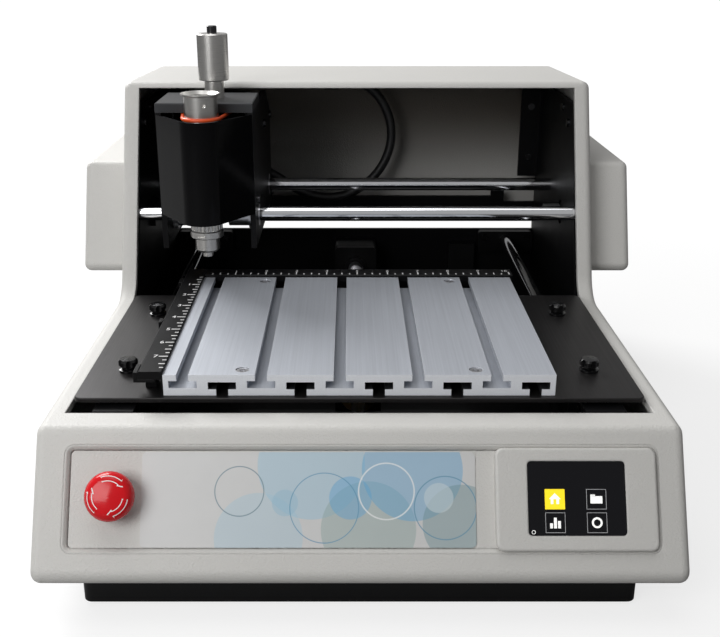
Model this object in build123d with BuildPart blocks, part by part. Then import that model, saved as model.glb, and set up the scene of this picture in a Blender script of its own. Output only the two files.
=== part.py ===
"""Desktop engraving machine with a moving T-slot table, a travelling spindle head and a moulded hood.

Frame: millimetres, +Z up, +Y to the rear, +X to the right as the operator faces the console.
The origin is on the bench, at the centre of the machine's footprint.
At rest the table stands forward and the head stands at the rulers' common zero corner.
"""
from build123d import *
from math import atan2, cos, degrees, pi, radians, sin, sqrt, tan
import os

os.makedirs("parts", exist_ok=True)

# Heights above the bench
foot_height = 3.0
casing_bottom_z = 27.0
rim_top_z = 114.0
deck_top_z = 118.6
table_top_z = 133.0
x_rail_z = 176.0
x_screw_z = 163.0
y_rail_z = 101.0
y_screw_z = 80.0
hood_front_z = 283.0
hood_rear_z = 278.0

# Places from front to rear
console_lip_y = -227.3
well_front_y = -207.4
table_front_y = -190.8
hood_foot_y = 19.6
casing_rear_y = 271.2
front_x_rail_y = 60.4
x_rail_spacing = 113.6
rear_plate_y = 249.2

# Table, rulers and what lies beside them, from the middle outwards
table_width = 254.0
ruler_width = 16.0
knob_gap = 15.0
knob_x = table_width / 2 + ruler_width + knob_gap
deck_edge = 27.0
deck_half_width = knob_x + deck_edge
deck_side_gap = 2.0
well_half_width = deck_half_width + deck_side_gap
rim_width = 13.3
casing_half_width = well_half_width + rim_width
gantry_setback = 0.5
gantry_inner_x = well_half_width + gantry_setback
gantry_thickness = 4.0
gantry_flange = 19.5
motor_size = 42.3
motor_length = 38.0

# Moulded casing
wall = 5.0
console_tilt = 29.5
hood_tilt = 24.0
hood_header = 5.0
ear_motor_gap = 4.5
ear_half_width = gantry_inner_x + gantry_thickness + motor_length + ear_motor_gap + wall
ear_root_x = casing_half_width - 2 * wall
ear_bottom_z = 124.0
ear_top_z = 214.0
ear_front_y = 53.0
ear_rear_y = 258.0
edge_radius = 6.0
hull_foot_radius = 8.0
lip_radius = 7.0
hood_foot_radius = 26.0
roof_front_radius = 7.0
roof_rear_radius = 12.0
rear_foot_radius = 7.0
rear_opening_half_width = gantry_inner_x + 2.5
rear_opening_bottom_z = 45.0
rear_opening_top_z = 134.0

# Black base tray
rail_block_width = 26.0
rail_plate_width = 57.0
tray_side_gap = 2.0
base_front_y = -250.8
base_rear_y = 257.0
sheet = 2.0
base_half_width = knob_x + rail_block_width / 2 + tray_side_gap + sheet
tray_flange_width = 15.0
foot_radius = 9.0
foot_inset = 20.0

# Console panel, measured down the face from the lip
recess_left, recess_right = -181.0, 183.0
recess_top, recess_bottom = 11.0, 76.4
recess_depth = 2.5
overlay_left, overlay_right = -133.8, 70.8
overlay_top, overlay_bottom = 15.3, 72.8
overlay_thickness = 0.6
bezel_left, bezel_right = 82.5, 180.7
bezel_top, bezel_bottom = 12.9, 74.8
bezel_height = 6.0
screen_left, screen_right = 101.7, 161.4
screen_top, screen_bottom = 20.8, 65.6
screen_thickness = 2.4
estop_x, estop_t = -150.5, 42.0
estop_cap_radius = 15.0
estop_collar_radius = 11.0
estop_stem_radius = 6.0
estop_travel = 4.0

# Table and deck
table_depth = 204.0
slot_pitch = 25.4
slots_per_side = 5
slot_opening = 7.9
slot_cavity_width = 18.3
slot_cavity_height = 5.0
slot_lip = 4.3
deck_thickness = 3.0
deck_front_y = -195.2
deck_rear_y = 9.7
table_travel = 203.2
ruler_thickness = 5.5
ruler_proud = 2.3
table_screw_x = 76.2
table_screw_inset = 9.0
table_screw_radius = 2.5
screw_pocket_radius = 4.6
screw_pocket_depth = 4.0
knob_y = (-149.5, -36.8)
knob_radius = 6.6
knob_stud_radius = 3.0

# Linear motion
rail_radius = 6.0
bushing_radius = 10.5
bushing_length = 26.0
running_gap = 0.04
rail_fit = 0.05
y_screw_radius = 5.0
x_screw_radius = 4.0
z_screw_radius = 3.0

# Gantry and rear plates
gantry_top_z = 264.0
flange_bottom_z = 168.7
rear_slot_bottom_z = 111.0
rear_slot_top_z = 119.4
cross_plate_top_z = 146.4
upstand_left_x, upstand_right_x = 141.8, 155.4
upstand_height = 6.4
low_end_drop = 6.0

# Spindle head and its carriage
head_home_inset = 4.0
carriage_center_x = head_home_inset - table_width / 2
carriage_width = 78.0
carriage_plate = 4.5
carriage_front_y = 25.2
carriage_rear_y = 199.2
carriage_bottom_z = 155.0
top_block_z = 267.4
top_block_thickness = 7.6
top_block_depth = 62.0
spindle_x = carriage_center_x
spindle_y = 12.2
belt_z = 265.2
belt_radius = 1.5
collar_radius = 13.3
brim_radius = 15.8
motor_pulley_y = 121.0
motor_pulley_radius = 28.2
spindle_radius = 8.0
tool_bore_radius = 2.2
housing_radius = 14.0
z_axis_y = 59.2
z_screw_x = carriage_center_x + 5.0
z_shaft_radius = 3.0
z_shaft_spacing = carriage_width - 2 * carriage_plate - 2 * z_shaft_radius
head_travel = 15.0
cover_bottom_z = 184.5
cover_top_z = 265.8
cover_wall = 2.0
cover_nose_radius = 17.5
cover_nose_y = 0.2
nose_tip_z = 152.0

# Head cable
cable_radius = 4.5

table_rear_y = table_front_y + table_depth
rear_x_rail_y = front_x_rail_y + x_rail_spacing
x_screw_y = (front_x_rail_y + rear_x_rail_y) / 2
deck_bottom_z = deck_top_z - deck_thickness
face_cos, face_sin = cos(radians(console_tilt)), sin(radians(console_tilt))
console_plane = Plane(
    origin=(0, console_lip_y, rim_top_z), x_dir=(1, 0, 0), z_dir=(0, -face_cos, face_sin)
)


def save(part, name):
    """Label a finished piece and write its file."""
    part.label = name
    export_step(part, f"parts/{name}.step")


def hood_face_y(z):
    """Depth of the hood's leaning front face at height z."""
    return hood_foot_y + (z - rim_top_z) * tan(radians(hood_tilt))


def roof_inner_z(y):
    """Height of the roof's inner side at depth y, behind its front corner."""
    front_y = hood_face_y(hood_front_z)
    slope = (hood_rear_z - hood_front_z) / (casing_rear_y - front_y)
    return hood_front_z + slope * (y - front_y) - wall * sqrt(1 + slope**2)


def console_point(x, t, lift=0.0):
    """Point on the console face, t down from the lip and lifted off the face."""
    return console_plane.from_local_coords(Vector(x, -t, lift))


def casing_hull(inset):
    """Side profile of the casing pulled in by inset and swept across its width."""
    nose_y = console_lip_y - (rim_top_z - casing_bottom_z) * tan(radians(console_tilt))
    with BuildPart() as hull:
        with BuildSketch(Plane.YZ) as profile:
            with BuildLine() as outline:
                Polyline(
                    (nose_y, casing_bottom_z),
                    (console_lip_y, rim_top_z),
                    (hood_foot_y, rim_top_z),
                    (hood_face_y(hood_front_z), hood_front_z),
                    (casing_rear_y, hood_rear_z),
                    (casing_rear_y, casing_bottom_z),
                    close=True,
                )
            make_face()
            corner_radii = (
                (nose_y, casing_bottom_z, hull_foot_radius),
                (console_lip_y, rim_top_z, lip_radius),
                (hood_foot_y, rim_top_z, hood_foot_radius),
                (hood_face_y(hood_front_z), hood_front_z, roof_front_radius),
                (casing_rear_y, hood_rear_z, roof_rear_radius),
                (casing_rear_y, casing_bottom_z, rear_foot_radius),
            )
            for corner_y, corner_z, radius in corner_radii:
                corner = profile.vertices().sort_by_distance((corner_y, corner_z, 0))[0]
                fillet(corner, radius=radius)
            if inset:
                offset(amount=-inset, mode=Mode.REPLACE)
        extrude(amount=casing_half_width - inset, both=True)
    return hull.part


def ear_block(side, inset):
    """Bulge on one side of the hood, pulled in by inset; side is 1 or -1."""
    with BuildPart() as ear:
        lean = tan(radians(hood_tilt))
        rise = ear_top_z - ear_bottom_z
        with BuildSketch(Plane.YZ.offset(side * ear_root_x)):
            with BuildLine():
                Polyline(
                    (ear_front_y + inset, ear_bottom_z + inset),
                    (ear_front_y + lean * rise + inset, ear_top_z - inset),
                    (ear_rear_y - inset, ear_top_z - inset),
                    (ear_rear_y - inset, ear_bottom_z + inset),
                    close=True,
                )
            make_face()
        extrude(amount=side * (ear_half_width - ear_root_x - inset))
        if not inset:
            outer = ear.faces().sort_by(Axis.X)[-1 if side > 0 else 0]
            fillet(outer.edges() + ear.edges().filter_by(Axis.X), radius=edge_radius)
    return ear.part


# Casing: console, rim, hood and ears in one moulding
with BuildPart() as casing:
    add(casing_hull(0))
    side_loops = casing.faces().filter_by(lambda f: abs(f.normal_at().X) > 0.9).edges()
    fillet(side_loops, radius=edge_radius)
    for ear_side in (1, -1):
        add(ear_block(ear_side, 0))
    add(casing_hull(wall), mode=Mode.SUBTRACT)
    for ear_side in (1, -1):
        add(ear_block(ear_side, wall), mode=Mode.SUBTRACT)
    # Well and hood opening in one cut, leaving the rim, the pillars and the header
    opening_top_z = hood_front_z - hood_header
    with BuildSketch(Plane.YZ):
        with BuildLine():
            Polyline(
                (well_front_y, rim_top_z - wall - 1),
                (well_front_y, opening_top_z),
                (hood_face_y(opening_top_z) + 2 * wall, opening_top_z),
                (hood_face_y(rim_top_z) + 2 * wall, rim_top_z),
                (hood_face_y(rim_top_z) + 2 * wall, rim_top_z - wall - 1),
                close=True,
            )
        make_face()
    extrude(amount=well_half_width, both=True, mode=Mode.SUBTRACT)
    # Underside opening for the base tray
    with BuildSketch(Plane.XY.offset(casing_bottom_z - 1)):
        with Locations((0, (base_front_y + base_rear_y) / 2)):
            Rectangle(2 * base_half_width + 2, base_rear_y - base_front_y + 2)
    extrude(amount=wall + 2, mode=Mode.SUBTRACT)
    # Rear opening behind the machine's rear plates
    with BuildSketch(Plane.XZ.offset(-casing_rear_y - 1)):
        with Locations((0, (rear_opening_bottom_z + rear_opening_top_z) / 2)):
            RectangleRounded(
                2 * rear_opening_half_width, rear_opening_top_z - rear_opening_bottom_z, 6
            )
    extrude(amount=wall + 2, mode=Mode.SUBTRACT)
    # Shallow recess for the console panel, with the stop button's hole
    with BuildSketch(console_plane):
        with Locations(((recess_left + recess_right) / 2, -(recess_top + recess_bottom) / 2)):
            RectangleRounded(recess_right - recess_left, recess_bottom - recess_top, 6)
    extrude(amount=-recess_depth, mode=Mode.SUBTRACT)
    with BuildSketch(console_plane):
        with Locations((estop_x, -estop_t)):
            Circle(estop_stem_radius + 2)
    extrude(amount=-2 * wall, mode=Mode.SUBTRACT)
save(casing.part, "casing")

# Base tray with its inward-lying flange on top of the casing's underside
tray_top_z = casing_bottom_z + wall
tray_center_y = (base_front_y + base_rear_y) / 2
tray_depth = base_rear_y - base_front_y
with BuildPart() as base_pan:
    with BuildSketch(Plane.XY.offset(foot_height)):
        with Locations((0, tray_center_y)):
            RectangleRounded(2 * base_half_width, tray_depth, 6)
    extrude(amount=tray_top_z - foot_height)
    with BuildSketch(Plane.XY.offset(foot_height + sheet)):
        with Locations((0, tray_center_y)):
            RectangleRounded(2 * (base_half_width - sheet), tray_depth - 2 * sheet, 4)
    extrude(amount=tray_top_z, mode=Mode.SUBTRACT)
    with BuildSketch(Plane.XY.offset(tray_top_z)):
        with Locations((0, tray_center_y)):
            Rectangle(2 * (base_half_width + tray_flange_width), tray_depth + 2 * sheet)
        with Locations((0, tray_center_y)):
            Rectangle(2 * (base_half_width - sheet), tray_depth - 2 * sheet, mode=Mode.SUBTRACT)
    extrude(amount=sheet)
save(base_pan.part, "base_pan")
tray_flange_z = tray_top_z + sheet

# Rubber feet
with BuildPart() as rubber_feet:
    with BuildSketch():
        with Locations((0, tray_center_y)):
            with GridLocations(
                2 * (base_half_width - foot_inset), tray_depth - 2 * foot_inset, 2, 2
            ):
                Circle(foot_radius)
    extrude(amount=foot_height)
    chamfer(rubber_feet.faces().sort_by(Axis.Z)[0].edges(), length=0.8)
save(rubber_feet.part, "rubber_feet")

# Gantry side plates with their rear flanges
x_motor_boss_radius = 11.0
for side, side_name in ((-1, "left"), (1, "right")):
    flange_start = side * (gantry_inner_x - gantry_flange)
    with BuildPart() as gantry_plate:
        with BuildSketch(Plane.YZ.offset(side * gantry_inner_x)):
            with BuildLine():
                front_low_y = hood_face_y(rim_top_z) + wall + 9
                front_high_y = hood_face_y(gantry_top_z) + wall + 3
                Polyline(
                    (front_low_y, tray_flange_z),
                    (front_low_y, rim_top_z - 8),
                    (front_high_y, gantry_top_z),
                    (rear_plate_y + gantry_thickness, gantry_top_z),
                    (rear_plate_y + gantry_thickness, tray_flange_z),
                    close=True,
                )
            make_face()
            with Locations((front_x_rail_y, x_rail_z), (rear_x_rail_y, x_rail_z)):
                Circle(rail_radius + rail_fit, mode=Mode.SUBTRACT)
            with Locations((x_screw_y, x_screw_z)):
                Circle(x_motor_boss_radius + rail_fit, mode=Mode.SUBTRACT)
        extrude(amount=side * gantry_thickness)
        with BuildSketch(Plane.XZ.offset(-rear_plate_y)):
            flange_center_x = (flange_start + side * gantry_inner_x) / 2
            with Locations((flange_center_x, (flange_bottom_z + gantry_top_z) / 2)):
                Rectangle(gantry_flange, gantry_top_z - flange_bottom_z)
        extrude(amount=gantry_thickness)
    save(gantry_plate.part, f"gantry_plate_{side_name}")

# Chromed X rails
for rail_y, rail_name in ((front_x_rail_y, "x_rail_front"), (rear_x_rail_y, "x_rail_rear")):
    with BuildPart() as x_rail:
        with BuildSketch(Plane.YZ.offset(-gantry_inner_x - gantry_thickness)):
            with Locations((rail_y, x_rail_z)):
                Circle(rail_radius)
        extrude(amount=2 * (gantry_inner_x + gantry_thickness))
    save(x_rail.part, rail_name)

# Rear cross plate above the feed slot, with its upstand and lower right end
with BuildPart() as rear_cross_plate:
    with BuildSketch(Plane.XZ.offset(-rear_plate_y)):
        with BuildLine():
            Polyline(
                (-gantry_inner_x, rear_slot_top_z),
                (gantry_inner_x, rear_slot_top_z),
                (gantry_inner_x, cross_plate_top_z - low_end_drop),
                (upstand_right_x, cross_plate_top_z - low_end_drop),
                (upstand_right_x, cross_plate_top_z + upstand_height),
                (upstand_left_x, cross_plate_top_z + upstand_height),
                (upstand_left_x, cross_plate_top_z),
                (-gantry_inner_x, cross_plate_top_z),
                close=True,
            )
        make_face()
    extrude(amount=-gantry_thickness)
save(rear_cross_plate.part, "rear_cross_plate")

# Rear base plate below the feed slot, with the power inlet's window
inlet_width, inlet_height = 27.0, 47.0
inlet_rim = 5.0
inlet_gap = 1.5
inlet_x = knob_x - rail_plate_width / 2 - inlet_gap - (inlet_width + inlet_rim) / 2
inlet_z = 74.0
with BuildPart() as rear_base_plate:
    with BuildSketch(Plane.XZ.offset(-rear_plate_y)):
        with BuildLine():
            Polyline(
                (-gantry_inner_x, tray_flange_z),
                (gantry_inner_x, tray_flange_z),
                (gantry_inner_x, rear_slot_bottom_z),
                (-gantry_inner_x, rear_slot_bottom_z),
                close=True,
            )
        make_face()
        with Locations((inlet_x, inlet_z)):
            Rectangle(inlet_width, inlet_height, mode=Mode.SUBTRACT)
    extrude(amount=-gantry_thickness)
save(rear_base_plate.part, "rear_base_plate")

# Y rails and the blocks that hold their ends
rail_block_front_y = -203.0
rail_block_depth = 12.0
rail_plate_height = 21.0
for side, side_name in ((-1, "left"), (1, "right")):
    with BuildPart() as y_rail:
        with BuildSketch(Plane.XZ.offset(-rail_block_front_y)):
            with Locations((side * knob_x, y_rail_z)):
                Circle(rail_radius)
        extrude(amount=-(rear_plate_y - rail_block_front_y))
    save(y_rail.part, f"y_rail_{side_name}")

with BuildPart() as y_rail_blocks:
    for side in (-1, 1):
        with BuildSketch(Plane.XZ.offset(-rail_block_front_y)):
            with Locations((side * knob_x, (y_rail_z + 12 + foot_height + sheet) / 2)):
                Rectangle(rail_block_width, y_rail_z + 12 - foot_height - sheet)
            with Locations((side * knob_x, y_rail_z)):
                Circle(rail_radius + rail_fit, mode=Mode.SUBTRACT)
        extrude(amount=-rail_block_depth)
        with BuildSketch(Plane.XZ.offset(-rear_plate_y)):
            with Locations((side * knob_x, y_rail_z - 1)):
                RectangleRounded(rail_plate_width, rail_plate_height, 3)
            with Locations((side * knob_x, y_rail_z)):
                Circle(rail_radius + rail_fit, mode=Mode.SUBTRACT)
        extrude(amount=rail_block_depth - 2)
save(y_rail_blocks.part, "y_rail_blocks")

# Lead screws with couplings, their free-end bearings and the motors
coupling_radius = 7.5
coupling_length = 14.0
motor_shaft_radius = 2.5
motor_shaft_length = 10.0
x_motor_face_x = gantry_inner_x + gantry_thickness
x_coupling_end_x = gantry_inner_x - 1.5
with BuildPart() as x_screw:
    with BuildSketch(Plane.YZ.offset(-gantry_inner_x - 3)):
        with Locations((x_screw_y, x_screw_z)):
            Circle(x_screw_radius)
    extrude(amount=gantry_inner_x + 3 + x_coupling_end_x - coupling_length)
    with BuildSketch(Plane.YZ.offset(x_coupling_end_x - coupling_length)):
        with Locations((x_screw_y, x_screw_z)):
            Circle(coupling_radius)
    extrude(amount=coupling_length)
    with BuildSketch(Plane.YZ.offset(x_coupling_end_x)):
        with Locations((x_screw_y, x_screw_z)):
            Circle(motor_shaft_radius)
    extrude(amount=x_motor_face_x - x_coupling_end_x + motor_shaft_length)
save(x_screw.part, "x_screw")

y_motor_face_y = rear_plate_y - motor_length
y_coupling_end_y = y_motor_face_y - 4
y_screw_front_y = rail_block_front_y + 2
with BuildPart() as y_screw:
    with BuildSketch(Plane.XZ.offset(-y_screw_front_y)):
        with Locations((0, y_screw_z)):
            Circle(y_screw_radius)
    extrude(amount=-(y_coupling_end_y - coupling_length - y_screw_front_y))
    with BuildSketch(Plane.XZ.offset(-(y_coupling_end_y - coupling_length))):
        with Locations((0, y_screw_z)):
            Circle(coupling_radius)
    extrude(amount=-coupling_length)
    with BuildSketch(Plane.XZ.offset(-y_coupling_end_y)):
        with Locations((0, y_screw_z)):
            Circle(motor_shaft_radius)
    extrude(amount=-(4 + motor_shaft_length))
save(y_screw.part, "y_screw")

with BuildPart() as screw_bearings:
    with BuildSketch(Plane.YZ.offset(-gantry_inner_x - gantry_thickness)):
        with Locations((x_screw_y, x_screw_z)):
            Circle(x_motor_boss_radius)
            Circle(x_screw_radius + running_gap, mode=Mode.SUBTRACT)
    extrude(amount=gantry_thickness)
    with BuildSketch(Plane.YZ.offset(-gantry_inner_x)):
        with Locations((x_screw_y, x_screw_z)):
            RegularPolygon(15, 4, rotation=45)
            Circle(x_screw_radius + running_gap, mode=Mode.SUBTRACT)
    extrude(amount=4)
    with BuildSketch(Plane.XZ.offset(-rail_block_front_y)):
        with Locations((0, (y_screw_z + 14 + foot_height + sheet) / 2)):
            Rectangle(30, y_screw_z + 14 - foot_height - sheet)
        with Locations((0, y_screw_z)):
            Circle(y_screw_radius + running_gap, mode=Mode.SUBTRACT)
    extrude(amount=-rail_block_depth)
save(screw_bearings.part, "screw_bearings")


def stepper(plane, boss_radius, boss_length):
    """Square stepper motor whose face lies on the plane, with its body behind it."""
    with BuildPart() as motor:
        with BuildSketch(plane):
            RectangleRounded(motor_size, motor_size, 4)
        extrude(amount=-motor_length)
        with BuildSketch(plane):
            Circle(boss_radius)
        extrude(amount=boss_length)
        with BuildSketch(plane.offset(boss_length)):
            Circle(motor_shaft_radius + running_gap)
        extrude(amount=-(boss_length + motor_shaft_length + 1), mode=Mode.SUBTRACT)
        for band in (9.0, motor_length - 9.0):
            with BuildSketch(plane.offset(-band)):
                RectangleRounded(motor_size + 1, motor_size + 1, 4)
                RectangleRounded(motor_size - 1, motor_size - 1, 3.4, mode=Mode.SUBTRACT)
            extrude(amount=-0.8, mode=Mode.SUBTRACT)
    return motor.part


x_motor = stepper(
    Plane(origin=(x_motor_face_x, x_screw_y, x_screw_z), x_dir=(0, 1, 0), z_dir=(-1, 0, 0)),
    x_motor_boss_radius,
    gantry_thickness - 1.5,
)
save(x_motor, "x_motor")
y_motor = stepper(
    Plane(origin=(0, y_motor_face_y, y_screw_z), x_dir=(1, 0, 0), z_dir=(0, -1, 0)),
    x_motor_boss_radius,
    2.0,
)
save(y_motor, "y_motor")

# Console panel pieces
floor_plane = console_plane.offset(-recess_depth)
with BuildPart() as front_overlay:
    with BuildSketch(floor_plane):
        with Locations(((overlay_left + overlay_right) / 2, -(overlay_top + overlay_bottom) / 2)):
            RectangleRounded(overlay_right - overlay_left, overlay_bottom - overlay_top, 3)
    extrude(amount=overlay_thickness)
save(front_overlay.part, "front_overlay")

bezel_center = ((bezel_left + bezel_right) / 2, -(bezel_top + bezel_bottom) / 2)
screen_center = ((screen_left + screen_right) / 2, -(screen_top + screen_bottom) / 2)
screen_floor = bezel_height - screen_thickness - 0.6
with BuildPart() as screen_bezel:
    with BuildSketch(floor_plane):
        with Locations(bezel_center):
            RectangleRounded(bezel_right - bezel_left, bezel_bottom - bezel_top, 5)
    extrude(amount=bezel_height)
    fillet(screen_bezel.faces().sort_by(Axis((0, 0, 0), console_plane.z_dir))[-1].edges(), radius=1.6)
    with BuildSketch(floor_plane.offset(screen_floor)):
        with Locations(screen_center):
            RectangleRounded(screen_right - screen_left, screen_bottom - screen_top, 2.5)
    extrude(amount=bezel_height, mode=Mode.SUBTRACT)
save(screen_bezel.part, "screen_bezel")

with BuildPart() as touch_screen:
    with BuildSketch(floor_plane.offset(screen_floor)):
        with Locations(screen_center):
            RectangleRounded(
                screen_right - screen_left - 0.4, screen_bottom - screen_top - 0.4, 2.3
            )
    extrude(amount=screen_thickness)
save(touch_screen.part, "touch_screen")

# Emergency stop: fixed collar, sliding stem and twisting mushroom cap
estop_spot = (estop_x, -estop_t)
collar_height = 4.5
cap_bottom = 9.5
cap_height = 9.0
pin_radius = 3.0
with BuildPart() as estop_collar:
    with BuildSketch(floor_plane):
        with Locations(estop_spot):
            Circle(estop_collar_radius)
            Circle(estop_stem_radius + running_gap, mode=Mode.SUBTRACT)
    extrude(amount=collar_height)
    chamfer(estop_collar.edges().group_by(Axis((0, 0, 0), console_plane.z_dir))[-1], length=0.7)
save(estop_collar.part, "estop_collar")

with BuildPart() as estop_stem:
    with BuildSketch(floor_plane.offset(-14)):
        with Locations(estop_spot):
            Circle(estop_stem_radius)
    extrude(amount=14 + cap_bottom - 0.3)
    with BuildSketch(floor_plane.offset(cap_bottom - 0.3)):
        with Locations(estop_spot):
            Circle(pin_radius)
    extrude(amount=6)
save(estop_stem.part, "estop_stem")

with BuildPart() as estop_cap:
    axis_plane = Plane(
        origin=console_point(estop_x, estop_t, -recess_depth),
        x_dir=(1, 0, 0),
        z_dir=(0, -face_cos, face_sin),
    )
    with BuildSketch(
        Plane(origin=axis_plane.origin, x_dir=axis_plane.x_dir, z_dir=-axis_plane.y_dir)
    ):
        with BuildLine():
            rim_low = (estop_cap_radius, cap_bottom + 1.2)
            rim_high = (estop_cap_radius, cap_bottom + 4.2)
            dish_edge = (9.5, cap_bottom + cap_height - 0.7)
            dish_middle = (0, cap_bottom + cap_height - 0.2)
            Line((0, cap_bottom), (estop_cap_radius - 1.2, cap_bottom))
            Line((estop_cap_radius - 1.2, cap_bottom), rim_low)
            Line(rim_low, rim_high)
            ThreePointArc(rim_high, (13.0, cap_bottom + 7.2), dish_edge)
            Line(dish_edge, dish_middle)
            Line(dish_middle, (0, cap_bottom))
        make_face()
    revolve(axis=Axis(axis_plane.origin, axis_plane.z_dir))
    with BuildSketch(axis_plane.offset(cap_bottom - 1)):
        Circle(pin_radius + running_gap)
    extrude(amount=7, mode=Mode.SUBTRACT)
save(estop_cap.part, "estop_cap")

# T-slot table
slot_span = slot_pitch * 2 * (slots_per_side - 1)
upper_slot_x = [-slot_span / 2 - slot_pitch / 2 + 2 * slot_pitch * k for k in range(slots_per_side)]
with BuildPart() as t_slot_table:
    table_thickness = table_top_z - deck_top_z
    with BuildSketch(Plane.XZ.offset(-table_front_y)):
        with Locations((0, deck_top_z + table_thickness / 2)):
            Rectangle(table_width, table_thickness)
        for slot_x in upper_slot_x:
            with Locations((slot_x, table_top_z - slot_lip / 2)):
                Rectangle(slot_opening, slot_lip, mode=Mode.SUBTRACT)
            with Locations((slot_x, table_top_z - slot_lip - slot_cavity_height / 2)):
                Rectangle(slot_cavity_width, slot_cavity_height, mode=Mode.SUBTRACT)
            with Locations((slot_x + slot_pitch, deck_top_z + slot_lip / 2)):
                Rectangle(slot_opening, slot_lip, mode=Mode.SUBTRACT)
            with Locations((slot_x + slot_pitch, deck_top_z + slot_lip + slot_cavity_height / 2)):
                Rectangle(slot_cavity_width, slot_cavity_height, mode=Mode.SUBTRACT)
    extrude(amount=-table_depth)
    table_screw_spots = [
        (x, y)
        for x in (-table_screw_x, table_screw_x)
        for y in (table_front_y + table_screw_inset, table_rear_y - table_screw_inset)
    ]
    with BuildSketch(Plane.XY.offset(table_top_z)):
        with Locations(*table_screw_spots):
            Circle(screw_pocket_radius)
    extrude(amount=-screw_pocket_depth, mode=Mode.SUBTRACT)
    with BuildSketch(Plane.XY.offset(table_top_z)):
        with Locations(*table_screw_spots):
            Circle(table_screw_radius + rail_fit)
    extrude(amount=-table_thickness, mode=Mode.SUBTRACT)
save(t_slot_table.part, "t_slot_table")

with BuildPart() as table_screws:
    pocket_floor_z = table_top_z - screw_pocket_depth
    with BuildSketch(Plane.XY.offset(pocket_floor_z)):
        with Locations(*table_screw_spots):
            Circle(screw_pocket_radius - 0.3)
    extrude(amount=screw_pocket_depth - 0.6)
    with BuildSketch(Plane.XY.offset(pocket_floor_z)):
        with Locations(*table_screw_spots):
            Circle(table_screw_radius)
    extrude(amount=-(pocket_floor_z - deck_bottom_z))
    with BuildSketch(Plane.XY.offset(table_top_z - 0.6)):
        with Locations(*table_screw_spots):
            RegularPolygon(2.2, 6)
    extrude(amount=-2.2, mode=Mode.SUBTRACT)
save(table_screws.part, "table_screws")

# Deck plate under the table
knob_spots = [(side * knob_x, y) for side in (-1, 1) for y in knob_y]
with BuildPart() as deck_plate:
    with BuildSketch(Plane.XY.offset(deck_bottom_z)):
        with Locations((0, (deck_front_y + deck_rear_y) / 2)):
            RectangleRounded(2 * deck_half_width, deck_rear_y - deck_front_y, 5)
        with Locations(*knob_spots):
            Circle(knob_stud_radius + rail_fit, mode=Mode.SUBTRACT)
        with Locations(*table_screw_spots):
            Circle(table_screw_radius + rail_fit, mode=Mode.SUBTRACT)
    extrude(amount=deck_thickness)
    chamfer(deck_plate.faces().sort_by(Axis.Z)[-1].outer_wire().edges(), length=0.6)
save(deck_plate.part, "deck_plate")

# Rulers along the table's rear and left edges
ruler_top_z = table_top_z + ruler_proud
ruler_end_y = table_rear_y + ruler_width
with BuildPart() as x_ruler:
    with BuildSketch(Plane.XY.offset(ruler_top_z)):
        with Locations((1.2, table_rear_y + ruler_width / 2)):
            Rectangle(table_width + 2.4, ruler_width)
    extrude(amount=-ruler_thickness)
    chamfer(x_ruler.faces().sort_by(Axis.Z)[-1].edges().filter_by(Axis.X), length=0.8)
save(x_ruler.part, "x_ruler")

with BuildPart() as y_ruler:
    with BuildSketch(Plane.XY.offset(ruler_top_z)):
        with Locations((-(table_width + ruler_width) / 2, (table_front_y + ruler_end_y) / 2)):
            Rectangle(ruler_width, ruler_end_y - table_front_y)
    extrude(amount=-ruler_thickness)
    chamfer(y_ruler.faces().sort_by(Axis.Z)[-1].edges().filter_by(Axis.Y), length=0.8)
save(y_ruler.part, "y_ruler")

bracket_x = -table_width / 2 - ruler_width
bracket_lip = 3.0
bracket_foot = 11.0
bracket_spots = ((table_front_y + 7.0, 7.0), (-94.0, 4.0), (0.5, 6.0))
with BuildPart() as ruler_brackets:
    for bracket_y, half_length in bracket_spots:
        with BuildSketch(Plane.XZ.offset(-bracket_y)):
            with BuildLine():
                Polyline(
                    (bracket_x - bracket_lip, deck_top_z),
                    (bracket_x - bracket_lip, ruler_top_z - 0.5),
                    (bracket_x, ruler_top_z - 0.5),
                    (bracket_x, ruler_top_z - ruler_thickness),
                    (bracket_x + bracket_foot, ruler_top_z - ruler_thickness),
                    (bracket_x + bracket_foot, deck_top_z),
                    close=True,
                )
            make_face()
        extrude(amount=half_length, both=True)
save(ruler_brackets.part, "ruler_brackets")

# Clamping knobs, each with a stud through the deck into the carriage
stud_bottom_z = y_rail_z + bushing_radius + 0.6
for (stud_x, stud_y), knob_name in zip(
    knob_spots, ("knob_left_front", "knob_left_rear", "knob_right_front", "knob_right_rear")
):
    with BuildPart() as knob:
        with BuildSketch(Plane.XY.offset(stud_bottom_z)):
            with Locations((stud_x, stud_y)):
                Circle(knob_stud_radius)
        extrude(amount=deck_top_z + 0.3 - stud_bottom_z)
        with BuildSketch(Plane.XZ.offset(-stud_y)):
            with BuildLine():
                profile_points = [
                    (0, 0.3), (knob_radius, 0.3), (knob_radius, 1.6), (4.6, 2.4),
                    (knob_radius, 4.6), (knob_radius, 7.4), (5.4, 8.8), (0, 9.2),
                ]
                Polyline(*[(stud_x + r, deck_top_z + z) for r, z in profile_points], close=True)
            make_face()
        revolve(axis=Axis((stud_x, stud_y, 0), (0, 0, 1)))
        with BuildSketch(Plane.XY.offset(deck_top_z + 9.3)):
            with Locations((stud_x, stud_y)):
                with PolarLocations(knob_radius + 1.6, 5):
                    Circle(3)
        extrude(amount=-6.2, mode=Mode.SUBTRACT)
    save(knob.part, knob_name)

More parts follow.
